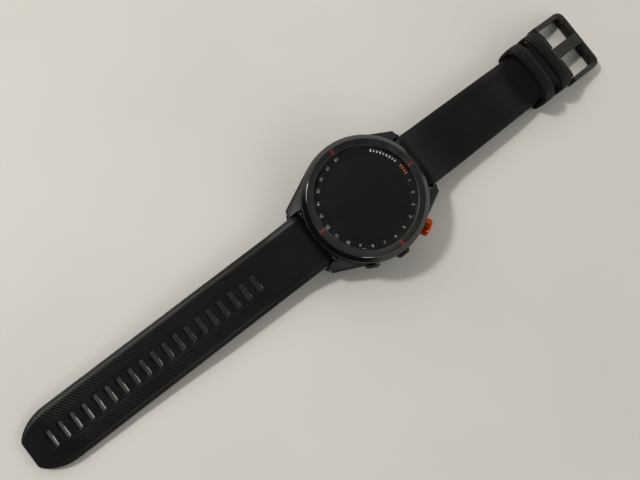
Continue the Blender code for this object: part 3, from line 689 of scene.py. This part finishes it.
def make_scale_marks():
    """Short plain strokes: a light row before 12 o'clock and an orange group at 12 o'clock."""
    rows = (
        ("lens_scale_light", "print_white", [313.5 + 4.0 * step for step in range(9)], 0.45),
        ("lens_scale_orange", "print_orange", [-5.6 + 3.6 * step for step in range(4)], 0.4),
    )
    radius = 17.5
    for name, material_name, angles, width in rows:
        strokes = []
        for number, angle in enumerate(angles):
            length = 0.8 if number % 3 else 1.05
            half = Vector((width / 2, length / 2, 0.02))
            stroke = placed(eased_edges(block(-half, half), 0.01, 1),
                            Matrix.Translation((0, radius, PRINT_LEVEL + 0.02)))
            strokes.append(placed(stroke, Matrix.Rotation(math.radians(-angle), 4, "Z")))
        add_piece(name, joined(strokes), material_name, "case", "display_black")


# ---------------------------------------------------------------- back


def make_back():
    low = box("back_cover")[0].z
    high = box("back_cover")[1].z
    bore = 8.8
    outline = [(bore, low + 0.3), (bore + 0.5, low, 0.15), (COVER_RADIUS - 1.1, low, 0.3),
               (COVER_RADIUS, low + 0.8, 0.3), (COVER_RADIUS, high), (bore, high, 0)]
    cover = new_piece("rear_cover", turned(softened(outline, 0.1, 3), 144), "case_polymer")
    screw_hole = [(0, 0.5), (1.65, 0.5), (1.5, 1.4), (1.5, 2.0), (0.9, 2.0), (0.9, 3.4), (0, 3.4)]
    for quarter in range(4):
        place = Matrix.Rotation(math.radians(45 + 90 * quarter), 4, "Z") @ Matrix.Translation((18.2, 0, 0))
        shaped(cover, "DIFFERENCE", placed(turned(screw_hole, 40), place))
        make_back_screw(quarter + 1, place)
    port = prism(rounded_box(4.6, 2.1, 0.9, 4), 0, 4)
    shaped(cover, "DIFFERENCE", placed(port, Matrix.Translation((0, middle("contact_block").y, 0))))
    settle(cover, "case", "case_polymer", "back_cover")


def make_back_screw(number, place):
    """A pan screw with a six-lobed socket."""
    outline = [(0, 1.3), (1.2, 1.3, 0.2), (1.2, 1.8), (0.6, 1.8), (0.6, 5.0, 0.1), (0, 5.2)]
    form = turned(softened(outline, 0.05, 3, closed=False), 40)
    screw = new_piece(f"cover_screw_{number}", placed(form, place), "steel")
    lobes = []
    for step in range(48):
        angle = 2 * math.pi * step / 48
        reach = 0.52 + 0.1 * math.cos(6 * angle)
        lobes.append((reach * math.cos(angle), reach * math.sin(angle)))
    shaped(screw, "DIFFERENCE", placed(prism(lobes, 1.0, 1.62), place))
    settle(screw, "case", "steel", f"back_screw_{number}")


def make_sensor_window():
    """The domed window, with two lamps and three light pick-ups that show through it."""
    edge = box("sensor_window")[1]
    flange = 3.0
    profile = [(0, 0), (6.5, 0), (7.3, 0.1), (8.0, 0.42), (8.4, 0.85), (8.5, 1.2), (8.5, flange),
               (edge.x, flange), (edge.x, edge.z), (0, edge.z)]
    glass = turned(profile, 128)
    add_piece("sensor_glass", glass, "sensor_gloss", "case", "sensor_window_black", "sensor_window")
    eyes = []
    for x, y, size in ((0, 2.3, 1.1), (0, -2.3, 1.1), (-2.6, 0, 0.9), (2.6, 0, 0.9), (0, 0, 0.75)):
        eye = prism(rounded_box(size, size * 0.7, 0.3, 3), -0.02, 0.1)
        eyes.append(placed(eye, Matrix.Translation((x, y, 0))))
    add_piece("sensor_eyes", joined(eyes), "sensor_eye", "case", "sensor_window_black")


# ---------------------------------------------------------------- buttons


def notched(turn, radius, height):
    """Fine notches round the rim of the large button, as a share of the radius."""
    on_rim = radius > 3.0 and 24.3 < height < 26.5
    return 1 - 0.035 * max(0.0, math.cos(18 * turn)) if on_rim else 1.0


def make_buttons():
    """Each button is a grooved stem with its head, as (radius, reach, rounding) points."""
    for name, angle in BUTTONS.items():
        place = outward(angle)
        main = name == "start_button"
        foot = 24.0 if main else 23.8
        stem = [(0, 18.6, 0), (0.85, 18.6, 0.1), (0.85, 18.95, 0.02), (0.6, 18.95, 0.02), (0.6, 19.35, 0.02),
                (0.85, 19.35, 0.02), (0.85, foot, 0.05)]
        if main:
            head = [(3.0, foot, 0.1), (3.3, foot + 0.35, 0.15), (3.3, 26.2, 0.2), (2.95, 26.75, 0.2),
                    (2.2, 26.85, 0.05), (2.1, 26.7, 0.05), (0, 26.72, 0)]
        else:
            head = [(2.8, foot, 0.08), (2.9, foot + 0.15, 0.1), (2.9, 24.45, 0.12), (2.45, 24.6, 0.08),
                    (2.35, 25.15, 0.14), (1.7, 25.25, 0.1), (0, 25.2, 0)]
        profile = softened(stem + head, 0.05, 3, closed=False)
        form = placed(turned(profile, 144, flute=notched if main else None), place)
        finish = "anodised_orange" if main else "black_metal"
        add_piece(f"{name}_pusher", form, finish, name, finish, f"{name}_cap")
        sprung(f"{name}_spring", "case")


# ---------------------------------------------------------------- straps

# Each strap's course: distance from the middle of the case, underside and top
LONG_RUN = [(25.0, 2.7, 8.5), (29.0, 2.7, 7.5), (33.0, 2.4, 6.4), (38.0, 1.9, 5.6), (55.0, 1.95, 5.2),
            (72.0, 2.0, 4.8), (90.0, 1.2, 3.9), (108.0, 0.55, 3.2), (126.0, 0.15, 2.8), (140.0, 0.0, 2.6),
            (148.0, 0.0, 2.5)]
SHORT_RUN = [(25.0, 2.7, 8.5), (29.0, 2.8, 7.6), (33.0, 2.8, 6.8), (38.0, 2.9, 6.3), (52.0, 3.2, 6.1),
             (66.0, 3.1, 5.9), (74.0, 2.5, 5.3), (80.0, 1.9, 4.7), (88.0, 1.9, 4.65), (95.2, 1.9, 4.7)]
PIN_END_RADIUS = 2.9
LOOP_RADIUS = 2.2
SLOT_FIRST = 49.94
SLOT_PITCH = 4.95
SLOT_COUNT = 19
SLOT_CENTRES = [SLOT_FIRST + SLOT_PITCH * number for number in range(SLOT_COUNT)]
SLOT_HALF = (3.3, 1.2)
SLOT_CORNER = 0.6
SLOT_EDGE = 0.3
EDGE_ROUND = 0.6
EDGE_STEPS = 8
EDGE_LINE = STRAP_HALF - EDGE_ROUND
FULL_THICKNESS = 2.2
SHOULDER_START = 8.6
SHOULDER_FALL = 0.42
STRAIGHT_HALF = 4.0
RIB_PITCH = SLOT_PITCH / 4
RIB_HEIGHT = 0.15
RIB_START = 4.1
RIB_SLANT = 0.75


def heights(run, distance):
    """Underside and top of a strap at a distance from the middle of the case, on a smooth curve."""
    last = len(run) - 1
    index = max(0, min(last - 1, sum(1 for row in run[1:-1] if row[0] < distance)))
    before, after = run[index], run[index + 1]
    width = after[0] - before[0]
    share = (distance - before[0]) / width
    square, cube = share ** 2, share ** 3

    def slope(at, column):
        if at in (0, last):
            return 0.0
        return (run[at + 1][column] - run[at - 1][column]) / (run[at + 1][0] - run[at - 1][0])

    return [
        (2 * cube - 3 * square + 1) * before[column]
        + (cube - 2 * square + share) * width * slope(index, column)
        + (3 * square - 2 * cube) * after[column]
        + (cube - square) * width * slope(index + 1, column)
        for column in (1, 2)
    ]


def end_stations(centre, height, radius, angles):
    """Stations on a strap's round end: distance, underside, top."""
    rows = []
    for angle in angles:
        turn = math.radians(angle)
        rise = radius * math.sin(turn)
        rows.append((centre - radius * math.cos(turn), height - rise, height + rise))
    return rows


def spread(start, end, pitch):
    """Evenly spaced values from start to end, both included."""
    count = max(1, math.ceil((end - start) / pitch - 1e-6))
    return [start + (end - start) * step / count for step in range(count + 1)]


def merged(values, least):
    """Sorted values, without those closer than least to the one before."""
    kept = []
    for value in sorted(values):
        if not kept or value - kept[-1] > least:
            kept.append(value)
    return kept


def on_slot_edge(x, distance, centre):
    """Move a point that lies on the slot's square outline onto its rounded corner."""
    tiny = 0.01
    past_x = abs(x) - SLOT_HALF[0]
    past_y = abs(distance - centre) - SLOT_HALF[1]
    on_side = abs(past_x) < tiny and past_y <= tiny
    on_end = abs(past_y) < tiny and past_x <= tiny
    over_x = past_x / SLOT_CORNER + 1
    over_y = past_y / SLOT_CORNER + 1
    if not (on_side or on_end) or over_x <= 0 or over_y <= 0:
        return x, distance
    angle = math.radians(90 - 45 * over_x if over_y >= over_x else 45 * over_y)
    new_x = SLOT_HALF[0] - SLOT_CORNER + SLOT_CORNER * math.cos(angle)
    new_y = SLOT_HALF[1] - SLOT_CORNER + SLOT_CORNER * math.sin(angle)
    return math.copysign(new_x, x), centre + math.copysign(new_y, distance - centre)


def slot_drop(x, distance, centre):
    """How far the rounded rim of a slot lies below the strap's face."""
    over_x = max(0.0, abs(x) - SLOT_HALF[0] + SLOT_CORNER)
    over_y = max(0.0, abs(distance - centre) - SLOT_HALF[1] + SLOT_CORNER)
    gap = max(0.0, math.hypot(over_x, over_y) - SLOT_CORNER)
    return SLOT_EDGE - math.sqrt(SLOT_EDGE ** 2 - (SLOT_EDGE - gap) ** 2) if gap < SLOT_EDGE else 0.0


def in_slot(x, distance):
    return abs(x) < SLOT_HALF[0] and any(abs(distance - centre) < SLOT_HALF[1] for centre in SLOT_CENTRES)


def ribs(x, distance):
    """Height of the fine slanting ribs that flank the slots; distance is that of the grid's row."""
    edge = min(abs(x) - RIB_START, STRAP_HALF - 1.2 - abs(x)) / 0.7
    along = min((distance - 49) / 10, (139 - distance) / 8)
    fade = smooth_step(edge) * smooth_step(along)
    return RIB_HEIGHT * fade * (0.5 + 0.5 * math.cos(2 * math.pi * (distance - SLOT_FIRST) / RIB_PITCH))


def slanted(x, distance):
    """Outside the slots the grid's rows slant, so that the ribs run along them."""
    over = abs(x) - RIB_START
    if over <= 0:
        return distance
    share = smooth_step((distance - 36) / 16) * smooth_step((TAIL_Y - 0.5 - distance) / 13)
    return distance - math.copysign(over * RIB_SLANT * share, x)


def strap_form(stations, lines, direction, half_width, is_cut, run=None):
    """A strap as a grid: stations along it, lines across it, and rounded long edges.

    stations are (distance, underside, top), and is_cut says whether the strap is cut away at a
    place. A strap with a run has the slots, and ribs along its slanting rows.
    """
    form = bmesh.new()
    cache = {}
    last_line = len(lines) - 1
    last_row = len(stations) - 1

    def station(x, row):
        """A station's distance, underside, top and share of the full thickness, where it crosses x."""
        distance, low, high = stations[row]
        if run and slanted(x, distance) != distance:
            distance = slanted(x, distance)
            low, high = heights(run, distance)
        return distance, low, high, min(1.0, (high - low) / FULL_THICKNESS)

    def edge_spot(side, step, row):
        distance, low, high, share = station(side * EDGE_LINE, row)
        angle = math.radians(90 - 180 * step / EDGE_STEPS)
        x = side * (half_width(distance) - EDGE_ROUND + EDGE_ROUND * math.cos(angle))
        upper, lower = 0.75 * share, 0.5 * share
        if angle >= 0:
            return x, direction * distance, high - SHOULDER_FALL * share - upper * (1 - math.sin(angle))
        return x, direction * distance, low + lower * (1 + math.sin(angle))

    def face_spot(is_top, column, row):
        line = x = lines[column]
        distance, low, high, share = station(x, row)
        drop = 0.0
        near = [centre for centre in SLOT_CENTRES if abs(distance - centre) < SLOT_HALF[1] + 2 * SLOT_EDGE]
        if run and near and abs(x) < SLOT_HALF[0] + 2 * SLOT_EDGE:
            x, distance = on_slot_edge(x, distance, near[0])
            drop = slot_drop(x, distance, near[0])
        if abs(x) > STRAIGHT_HALF:
            narrow = half_width(distance) - EDGE_ROUND
            squeeze = (narrow - STRAIGHT_HALF) / (EDGE_LINE - STRAIGHT_HALF)
            x = math.copysign(STRAIGHT_HALF + (abs(x) - STRAIGHT_HALF) * squeeze, x)
        if not is_top:
            return x, direction * distance, low + drop * 0.8
        shoulder = smooth_step((abs(line) - SHOULDER_START) / (EDGE_LINE - SHOULDER_START))
        relief = ribs(line, stations[row][0]) if run else 0.0
        return x, direction * distance, high - SHOULDER_FALL * share * shoulder - drop + relief

    def vertex(spot, *place):
        key = (spot.__name__, *place)
        if key not in cache:
            cache[key] = form.verts.new(spot(*place))
        return cache[key]

    def wall(first, second):
        """A face from the top to the underside, between two corners of the grid."""
        form.faces.new([vertex(face_spot, is_top, *corner) for is_top, corner in
                        ((True, first), (True, second), (False, second), (False, first))])

    def edge(side, row):
        """The points of a rounded long edge at one station, from the top to the underside."""
        column = last_line if side > 0 else 0
        points = [vertex(edge_spot, side, step, row) for step in range(1, EDGE_STEPS)]
        return [vertex(face_spot, True, column, row)] + points + [vertex(face_spot, False, column, row)]

    gaps = {(column, row) for column in range(last_line) for row in range(last_row)
            if is_cut((lines[column] + lines[column + 1]) / 2, (stations[row][0] + stations[row + 1][0]) / 2)}
    for row in range(last_row):
        for column in range(last_line):
            if (column, row) in gaps:
                continue
            corners = [(column, row), (column + 1, row), (column + 1, row + 1), (column, row + 1)]
            for is_top in (True, False):
                form.faces.new([vertex(face_spot, is_top, *corner) for corner in corners])
            beside = [(column, row - 1), (column + 1, row), (column, row + 1), (column - 1, row)]
            for first, second, neighbour in zip(corners, corners[1:] + corners[:1], beside):
                if neighbour in gaps:
                    wall(first, second)
        for side in (1, -1):
            here, after = edge(side, row), edge(side, row + 1)
            for step in range(EDGE_STEPS):
                form.faces.new((here[step], here[step + 1], after[step + 1], after[step]))
    for row in (0, last_row):
        for column in range(last_line):
            if (column, min(row, last_row - 1)) not in gaps:
                wall((column, row), (column + 1, row))
        for side in (1, -1):
            form.faces.new(edge(side, row))
    return form


def line_positions(marks, pitch):
    """Lines across a strap: the given marks exactly, and even ones inside and outside them."""
    first, last = min(marks), max(marks)
    outside = [value for value in spread(last, EDGE_LINE, pitch) if value > last + 0.05]
    inside = [value for value in spread(0.0, first, 0.9) if 0.3 < value < first - 0.3]
    right = merged(marks + outside + inside, 0.04)
    return [-value for value in reversed(right)] + [0.0] + right


def hollow_strap_end(strap, direction):
    """The seat for the pin, the connector and the latch, on the strap's underside."""
    below = -7.0
    mouth = arc((0, 0), 1.25, 0, 180, 12) + [(-1.25, below), (1.25, below)]
    seat = arc((0, 0), 2.25, 15, 180, 12) + [(-2.25, below), (8.3, below), (8.3, 0.05)]
    channel = [(4.0, below), (12.1, below), (12.1, -1.1), (4.0, -1.1)]
    for outline, half_width in ((mouth, 13), (seat, 7.8), (channel, 4.9)):
        profile = [(direction * (LUG_PIN_Y + y), LUG_PIN_HEIGHT + z) for y, z in outline]
        shaped(strap, "DIFFERENCE", side_prism(profile, half_width), solver="MANIFOLD")


def pin_end():
    return end_stations(LUG_PIN_Y, LUG_PIN_HEIGHT, PIN_END_RADIUS, (6, 14, 24, 35, 47, 60, 75))


def make_long_strap():
    def width(distance):
        """Half the strap's width, drawn in on an ellipse along the tail."""
        taper = 13.0
        share = max(0.0, distance - (TAIL_Y - taper)) / (taper * 1.155)
        return STRAP_HALF * math.sqrt(max(0.0, 1 - share * share))

    distances = spread(25, 36, 1.2) + spread(36.4, 47.3, 0.41) + spread(141.7, TAIL_Y - 0.6, 0.4)
    beside_slot = [0.2 * step for step in range(8)] + [1.6, 1.8, 2.0, 2.2, 2.4]
    for centre in SLOT_CENTRES:
        distances += [centre + side * mark for mark in beside_slot for side in (1, -1)]
    stations = pin_end() + [(distance, *heights(LONG_RUN, distance)) for distance in merged(distances, 0.1)]
    low, high = heights(LONG_RUN, TAIL_Y)
    for back, inset in ((0.3, 0.12), (0.12, 0.3), (0.0, 0.6)):
        stations.append((TAIL_Y - back, low + inset, high - inset))
    marks = [SLOT_HALF[0] - SLOT_CORNER * step / 3 for step in range(4)]
    marks += [SLOT_HALF[0] + 0.1, SLOT_HALF[0] + 0.3]
    form = strap_form(stations, line_positions(marks, 0.26), -1, width, in_slot, LONG_RUN)
    strap = new_piece("strap_long_soft", form, "silicone", sharp=60)
    hollow_strap_end(strap, -1)
    settle(strap, "long_strap", "strap_silicone", "long_strap")


def make_short_strap():
    def width(distance):
        """Half the strap's width, a little narrower between the case and the keepers."""
        drawn_in = 0.5 * smooth_step((distance - 34) / 44)
        return STRAP_HALF - drawn_in + 0.45 * smooth_step((distance - 80.5) / 3.5)

    notch_start = BUCKLE_PIN_Y - 2.3
    notch_half = 2.75
    distances = [value for value in spread(25, 95.2, 0.9) if abs(value - notch_start) > 0.2] + [notch_start]
    stations = pin_end() + [(distance, *heights(SHORT_RUN, distance)) for distance in merged(distances, 0.02)]
    loop_angles = (55, 68, 80, 92, 104, 116, 128, 140, 152, 164, 174)
    stations += end_stations(BUCKLE_PIN_Y, BUCKLE_PIN_HEIGHT, LOOP_RADIUS, loop_angles)
    lines = line_positions([notch_half - 0.2, notch_half], 0.8)
    form = strap_form(stations, lines, 1, width, lambda x, d: abs(x) < notch_half and d > notch_start)
    strap = new_piece("strap_short_soft", form, "silicone", sharp=60)
    hollow_strap_end(strap, 1)
    settle(strap, "short_strap", "strap_silicone", "short_strap")


def make_strap_fastenings():
    for end, direction in (("long", -1), ("short", 1)):
        refined(f"strap_connector_{end}", "black_polymer", 0.12, f"{end}_strap")
        refined(f"release_latch_{end}", "black_polymer", 0.12, f"{end}_latch")
        refined(f"lug_pin_{end}", "steel", 0.1, "case")
        sprung(f"latch_spring_{end}", f"{end}_strap")
        make_lug_screw(end, direction * LUG_PIN_Y)


def make_lug_screw(end, pin_y):
    low, high = box(f"lug_screw_{end}")
    radius = high.z - LUG_PIN_HEIGHT
    profile = softened([(0, low.x), (radius, low.x, 0.05), (radius, high.x, 0.15), (0, high.x)], 0.05, 3,
                       closed=False)
    form = placed(turned(profile, 48), across(pin_y, LUG_PIN_HEIGHT))
    screw = new_piece(f"lug_screw_{end}_head", form, "steel")
    groove = block((high.x - 0.3, -2, -0.15), (high.x + 1, 2, 0.15))
    shaped(screw, "DIFFERENCE", placed(groove, Matrix.Translation((0, pin_y, LUG_PIN_HEIGHT))))
    settle(screw, "case", "steel", f"lug_screw_{end}")


# ---------------------------------------------------------------- keepers


def resampled(path, count):
    """Evenly spaced points along a path."""
    spots = [Vector(point) for point in path]
    lengths = [0.0]
    for before, after in zip(spots, spots[1:]):
        lengths.append(lengths[-1] + (after - before).length)
    result = []
    place = 0
    for step in range(count + 1):
        target = lengths[-1] * step / count
        while place < len(spots) - 2 and lengths[place + 1] < target:
            place += 1
        share = (target - lengths[place]) / (lengths[place + 1] - lengths[place])
        result.append(tuple(spots[place].lerp(spots[place + 1], min(1.0, share))))
    return result


def keeper_loops():
    """The outer and inner outlines of a keeper, as matching points from the bottom middle round."""
    outer = [(0, 0), (12.35, 0, 1.5), (12.85, 3.0, 1.8), (12.85, 6.0), (12.62, 7.4), (11.7, 8.7),
             (10.0, 9.52), (7.0, 10.1), (3.5, 10.36), (0, 10.4)]
    inner = [(0, 1.45), (11.27, 1.45, 0.9), (11.27, 6.6), (11.1, 7.4), (10.6, 8.15), (9.2, 8.87), (6.5, 9.14),
             (0, 9.3)]
    loops = []
    for right in (outer, inner):
        path = resampled(softened(right, 1.0, 6, closed=False), 40)
        loops.append(path + [(-x, z) for x, z in reversed(path[1:-1])])
    return loops


def make_keeper(name, node, body, twist=0.0):
    """A soft loop that leans towards the buckle; twist turns it a little about the strap."""
    low, high = box(node)
    lean = 0.22
    depth = (high.y - low.y) - lean * (high.z - low.z)
    centre = high.y - depth / 2
    section = softened([(-0.5, 0.0, 0.12), (-0.5, 1.0, 0.22), (0.5, 1.0, 0.22), (0.5, 0.0, 0.12)], 0.2, 5)
    form = bmesh.new()
    rings = []
    for outside, inside in zip(*keeper_loops()):
        thickness = Vector(outside) - Vector(inside)
        ring = []
        for along, share in section:
            spot = Vector(inside) + thickness * share
            if outside[1] > 1.0:
                swell = 0.2 * (1 - (2 * along) ** 2) * max(0.0, share - 0.5)
                spot += thickness.normalized() * swell
            y = centre + along * depth + lean * (spot.y - high.z) + twist * spot.x
            ring.append(form.verts.new((spot.x, y, spot.y)))
        rings.append(ring)
    for before, after in zip(rings, rings[1:] + rings[:1]):
        bridge(form, before, after)
    add_piece(name, form, "silicone", body, "strap_silicone", node, sharp=70)


# ---------------------------------------------------------------- buckle

BUCKLE_WINDOW = 11.4
BUCKLE_BAR_Y = 109.6
BUCKLE_BORE = 1.1
TONGUE_TIP_Y = 110.9


def make_buckle():
    """A bow swept round the window, which thins towards its far bar, with a knuckle at each end."""
    start = BUCKLE_PIN_Y - 0.5
    paths = []
    for half, far, corner in ((BUCKLE_WINDOW, BUCKLE_BAR_Y, 0.9), (BUCKLE_HALF, BUCKLE_FAR, 3.6)):
        right = resampled(softened([(half, start), (half, far, corner), (0, far)], 0.1, 8, closed=False), 48)
        paths.append(right + [(-x, y) for x, y in reversed(right[:-1])])
    sections = []
    for near, away in zip(*paths):
        near, away = Vector(near), Vector(away)
        width = (away - near).length
        share = (near.y - BUCKLE_PIN_Y) / (BUCKLE_FAR - BUCKLE_PIN_Y)
        low, high = 2.1 - 2.1 * share, 5.5 - 2.75 * share
        rim = [(0, low, 0.35), (width, low, 0.5), (width, high, 0.95), (0, high, 0.45)]
        sections.append([(*near.lerp(away, x / width), z) for x, z in softened(rim, 0.3, 5)])
    buckle = new_piece("buckle_bow", lofted(sections), "black_metal", sharp=40)

    pin = across(BUCKLE_PIN_Y, BUCKLE_PIN_HEIGHT)
    radius = 2.1
    for side in (1, -1):
        low, high = sorted((side * BUCKLE_WINDOW, side * BUCKLE_HALF))
        profile = softened([(0, low), (radius, low), (radius, high), (0, high)], 0.4, 4, closed=False)
        shaped(buckle, "UNION", placed(turned(profile, 64), pin))
    shaped(buckle, "DIFFERENCE", placed(rod(BUCKLE_BORE, 15), pin))
    settle(buckle, "buckle_frame", "black_metal", "buckle_frame")


def make_tongue():
    tip = TONGUE_TIP_Y - BUCKLE_PIN_Y
    side_view = arc((0, 0), 1.9, 62, 328, 28)
    side_view += [(tip - 1.2, -0.28), (tip, -0.32), (tip + 0.15, 0.1), (tip - 0.1, 0.5), (tip - 0.6, 0.78),
                  (tip - 2.5, 0.9)]
    outline = [(BUCKLE_PIN_Y + y, BUCKLE_PIN_HEIGHT + z) for y, z in side_view]
    form = eased_edges(side_prism(outline, 2.4), 0.3, 3, 50)
    tongue = new_piece("buckle_prong", form, "tongue_black", sharp=40)
    shaped(tongue, "DIFFERENCE", placed(rod(BUCKLE_BORE, 5), across(BUCKLE_PIN_Y, BUCKLE_PIN_HEIGHT)))
    settle(tongue, "buckle_tongue", "tongue_black", "buckle_tongue")
    refined("buckle_pin", "steel", 0.15, "short_strap")


# ---------------------------------------------------------------- carried-over nodes

CARRIED = {
    "seal_rubber": ["lens_gasket", "back_gasket"] + [f"{name}_seal" for name in BUTTONS],
    "flex_amber": ["display_flex"],
    "frame_alloy": ["inner_frame"],
    "board_green": ["main_board", "sensor_board"],
    "steel": ["shield_can", "vibration_motor"]
             + [f"{name}_{part}" for name in BUTTONS for part in ("clip", "sleeve", "switch")],
    "gold": ["gps_antenna"] + [f"charging_contact_{number}" for number in range(1, 5)],
    "battery_foil": ["battery"],
    "case_polymer": ["contact_block"],
}


def dress_carried_nodes():
    """Give every CAD node that still shows a finished material."""
    for material_name, nodes in CARRIED.items():
        for node in nodes:
            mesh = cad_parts[node].data
            mesh.materials.clear()
            mesh.materials.append(MATERIALS[material_name])


# ---------------------------------------------------------------- stage


def make_floor():
    paint = Paint("floor", (0.76, 0.73, 0.68), 0.6, Specular_IOR_Level=0.2)
    paint.colour(paint.noise(9, 3.0), (0.74, 0.71, 0.66), (0.80, 0.77, 0.72))
    half = 1600
    height = -0.05
    form = bmesh.new()
    corners = [(-half, -half), (half, -half), (half, half), (-half, half)]
    form.faces.new([form.verts.new((x, y, height)) for x, y in corners])
    new_piece("floor", form, "floor")


def make_sky():
    """Soft light in level bands, with one dark side that the polished chamfer mirrors."""
    world = bpy.data.worlds.new("studio")
    bpy.context.scene.world = world
    world.use_nodes = True
    sky = Nodes(world.node_tree)
    background = sky.tree.nodes["Background"]
    way = sky.add("ShaderNodeTexCoord").outputs["Generated"]

    split = sky.add("ShaderNodeSeparateXYZ")
    ramp = sky.add("ShaderNodeValToRGB")
    sky.link(way, split.inputs["Vector"])
    sky.link(split.outputs["Z"], ramp.inputs["Fac"])
    sky.link(ramp.outputs["Color"], background.inputs["Color"])
    # Sine of the elevation, and brightness there
    bands = [(0.0, 0.5), (0.22, 0.65), (0.38, 1.6), (0.55, 1.8), (0.68, 0.25), (1.0, 0.06)]
    while len(ramp.color_ramp.elements) < len(bands):
        ramp.color_ramp.elements.new(0.5)
    for element, (position, level) in zip(ramp.color_ramp.elements, bands):
        element.position = position
        element.color = (level, level, level * 0.97, 1)

    facing = sky.add("ShaderNodeVectorMath", operation="DOT_PRODUCT")
    facing.inputs[1].default_value = (0.17, -0.985, 0.0)
    limits = {"From Min": 0.34, "From Max": 0.6, "To Min": 1.0, "To Max": 0.03}
    dark_side = sky.add("ShaderNodeMapRange", limits, interpolation_type="SMOOTHSTEP")
    sky.link(way, facing.inputs[0])
    sky.link(facing.outputs["Value"], dark_side.inputs["Value"])
    sky.link(dark_side.outputs["Result"], background.inputs["Strength"])


def add_lamp(name, toward, size, power, colour):
    """A disc of light, in metres and watts, that shines at the watch from a direction."""
    spot = Vector(toward).normalized() * 1.3
    lamp = bpy.data.lights.new(name, "AREA")
    lamp.shape = "DISK"
    lamp.size = size
    lamp.energy = power
    lamp.color = colour
    holder = linked(name, lamp)
    holder.location = spot
    holder.rotation_euler = (-spot).to_track_quat("-Z", "Y").to_euler()
    return holder


def make_lamps():
    """The key lamp, and two discs that only gloss sees: the glints on the bezel's ridge."""
    add_lamp("key", (-0.96, -0.5, 1.0), 0.17, 8.0, (1.0, 0.985, 0.95))
    for name, toward in (("glint_left", (-0.647, -0.552, 0.523)), ("glint_low", (0.752, -0.38, 0.535))):
        add_lamp(name, toward, 0.27, 4.6, (1.0, 0.99, 0.97)).visible_diffuse = False


def make_camera():
    """Almost straight above the watch, turned so that the strap runs from corner to corner."""
    lens = bpy.data.cameras.new("camera")
    lens.sensor_width = 36.0
    lens.lens = 28.97
    lens.clip_start = 0.01
    camera = linked("camera", lens)
    roll = Matrix.Rotation(-0.9149, 3, "Z")
    tilt = Matrix.Rotation(-0.0313, 3, "Y") @ Matrix.Rotation(-0.1136, 3, "X")
    turn = (roll @ tilt).transposed().to_4x4()
    camera.matrix_world = Matrix.Translation(Vector((7.74, -43.22, 194.47)) * MM) @ turn
    bpy.context.scene.camera = camera


bpy.context.scene.view_settings.view_transform = "Standard"
make_materials()
make_camera()
make_floor()
make_sky()
make_lamps()
make_case()
make_bezel()
make_lens()
make_border()
make_numerals()
make_scale_marks()
make_back()
make_sensor_window()
make_buttons()
make_long_strap()
make_short_strap()
make_strap_fastenings()
make_keeper("keeper_loop_free", "keeper_free", "keeper_free", twist=-0.035)
make_keeper("keeper_loop_fixed", "keeper_fixed", "short_strap")
make_buckle()
make_tongue()
dress_carried_nodes()
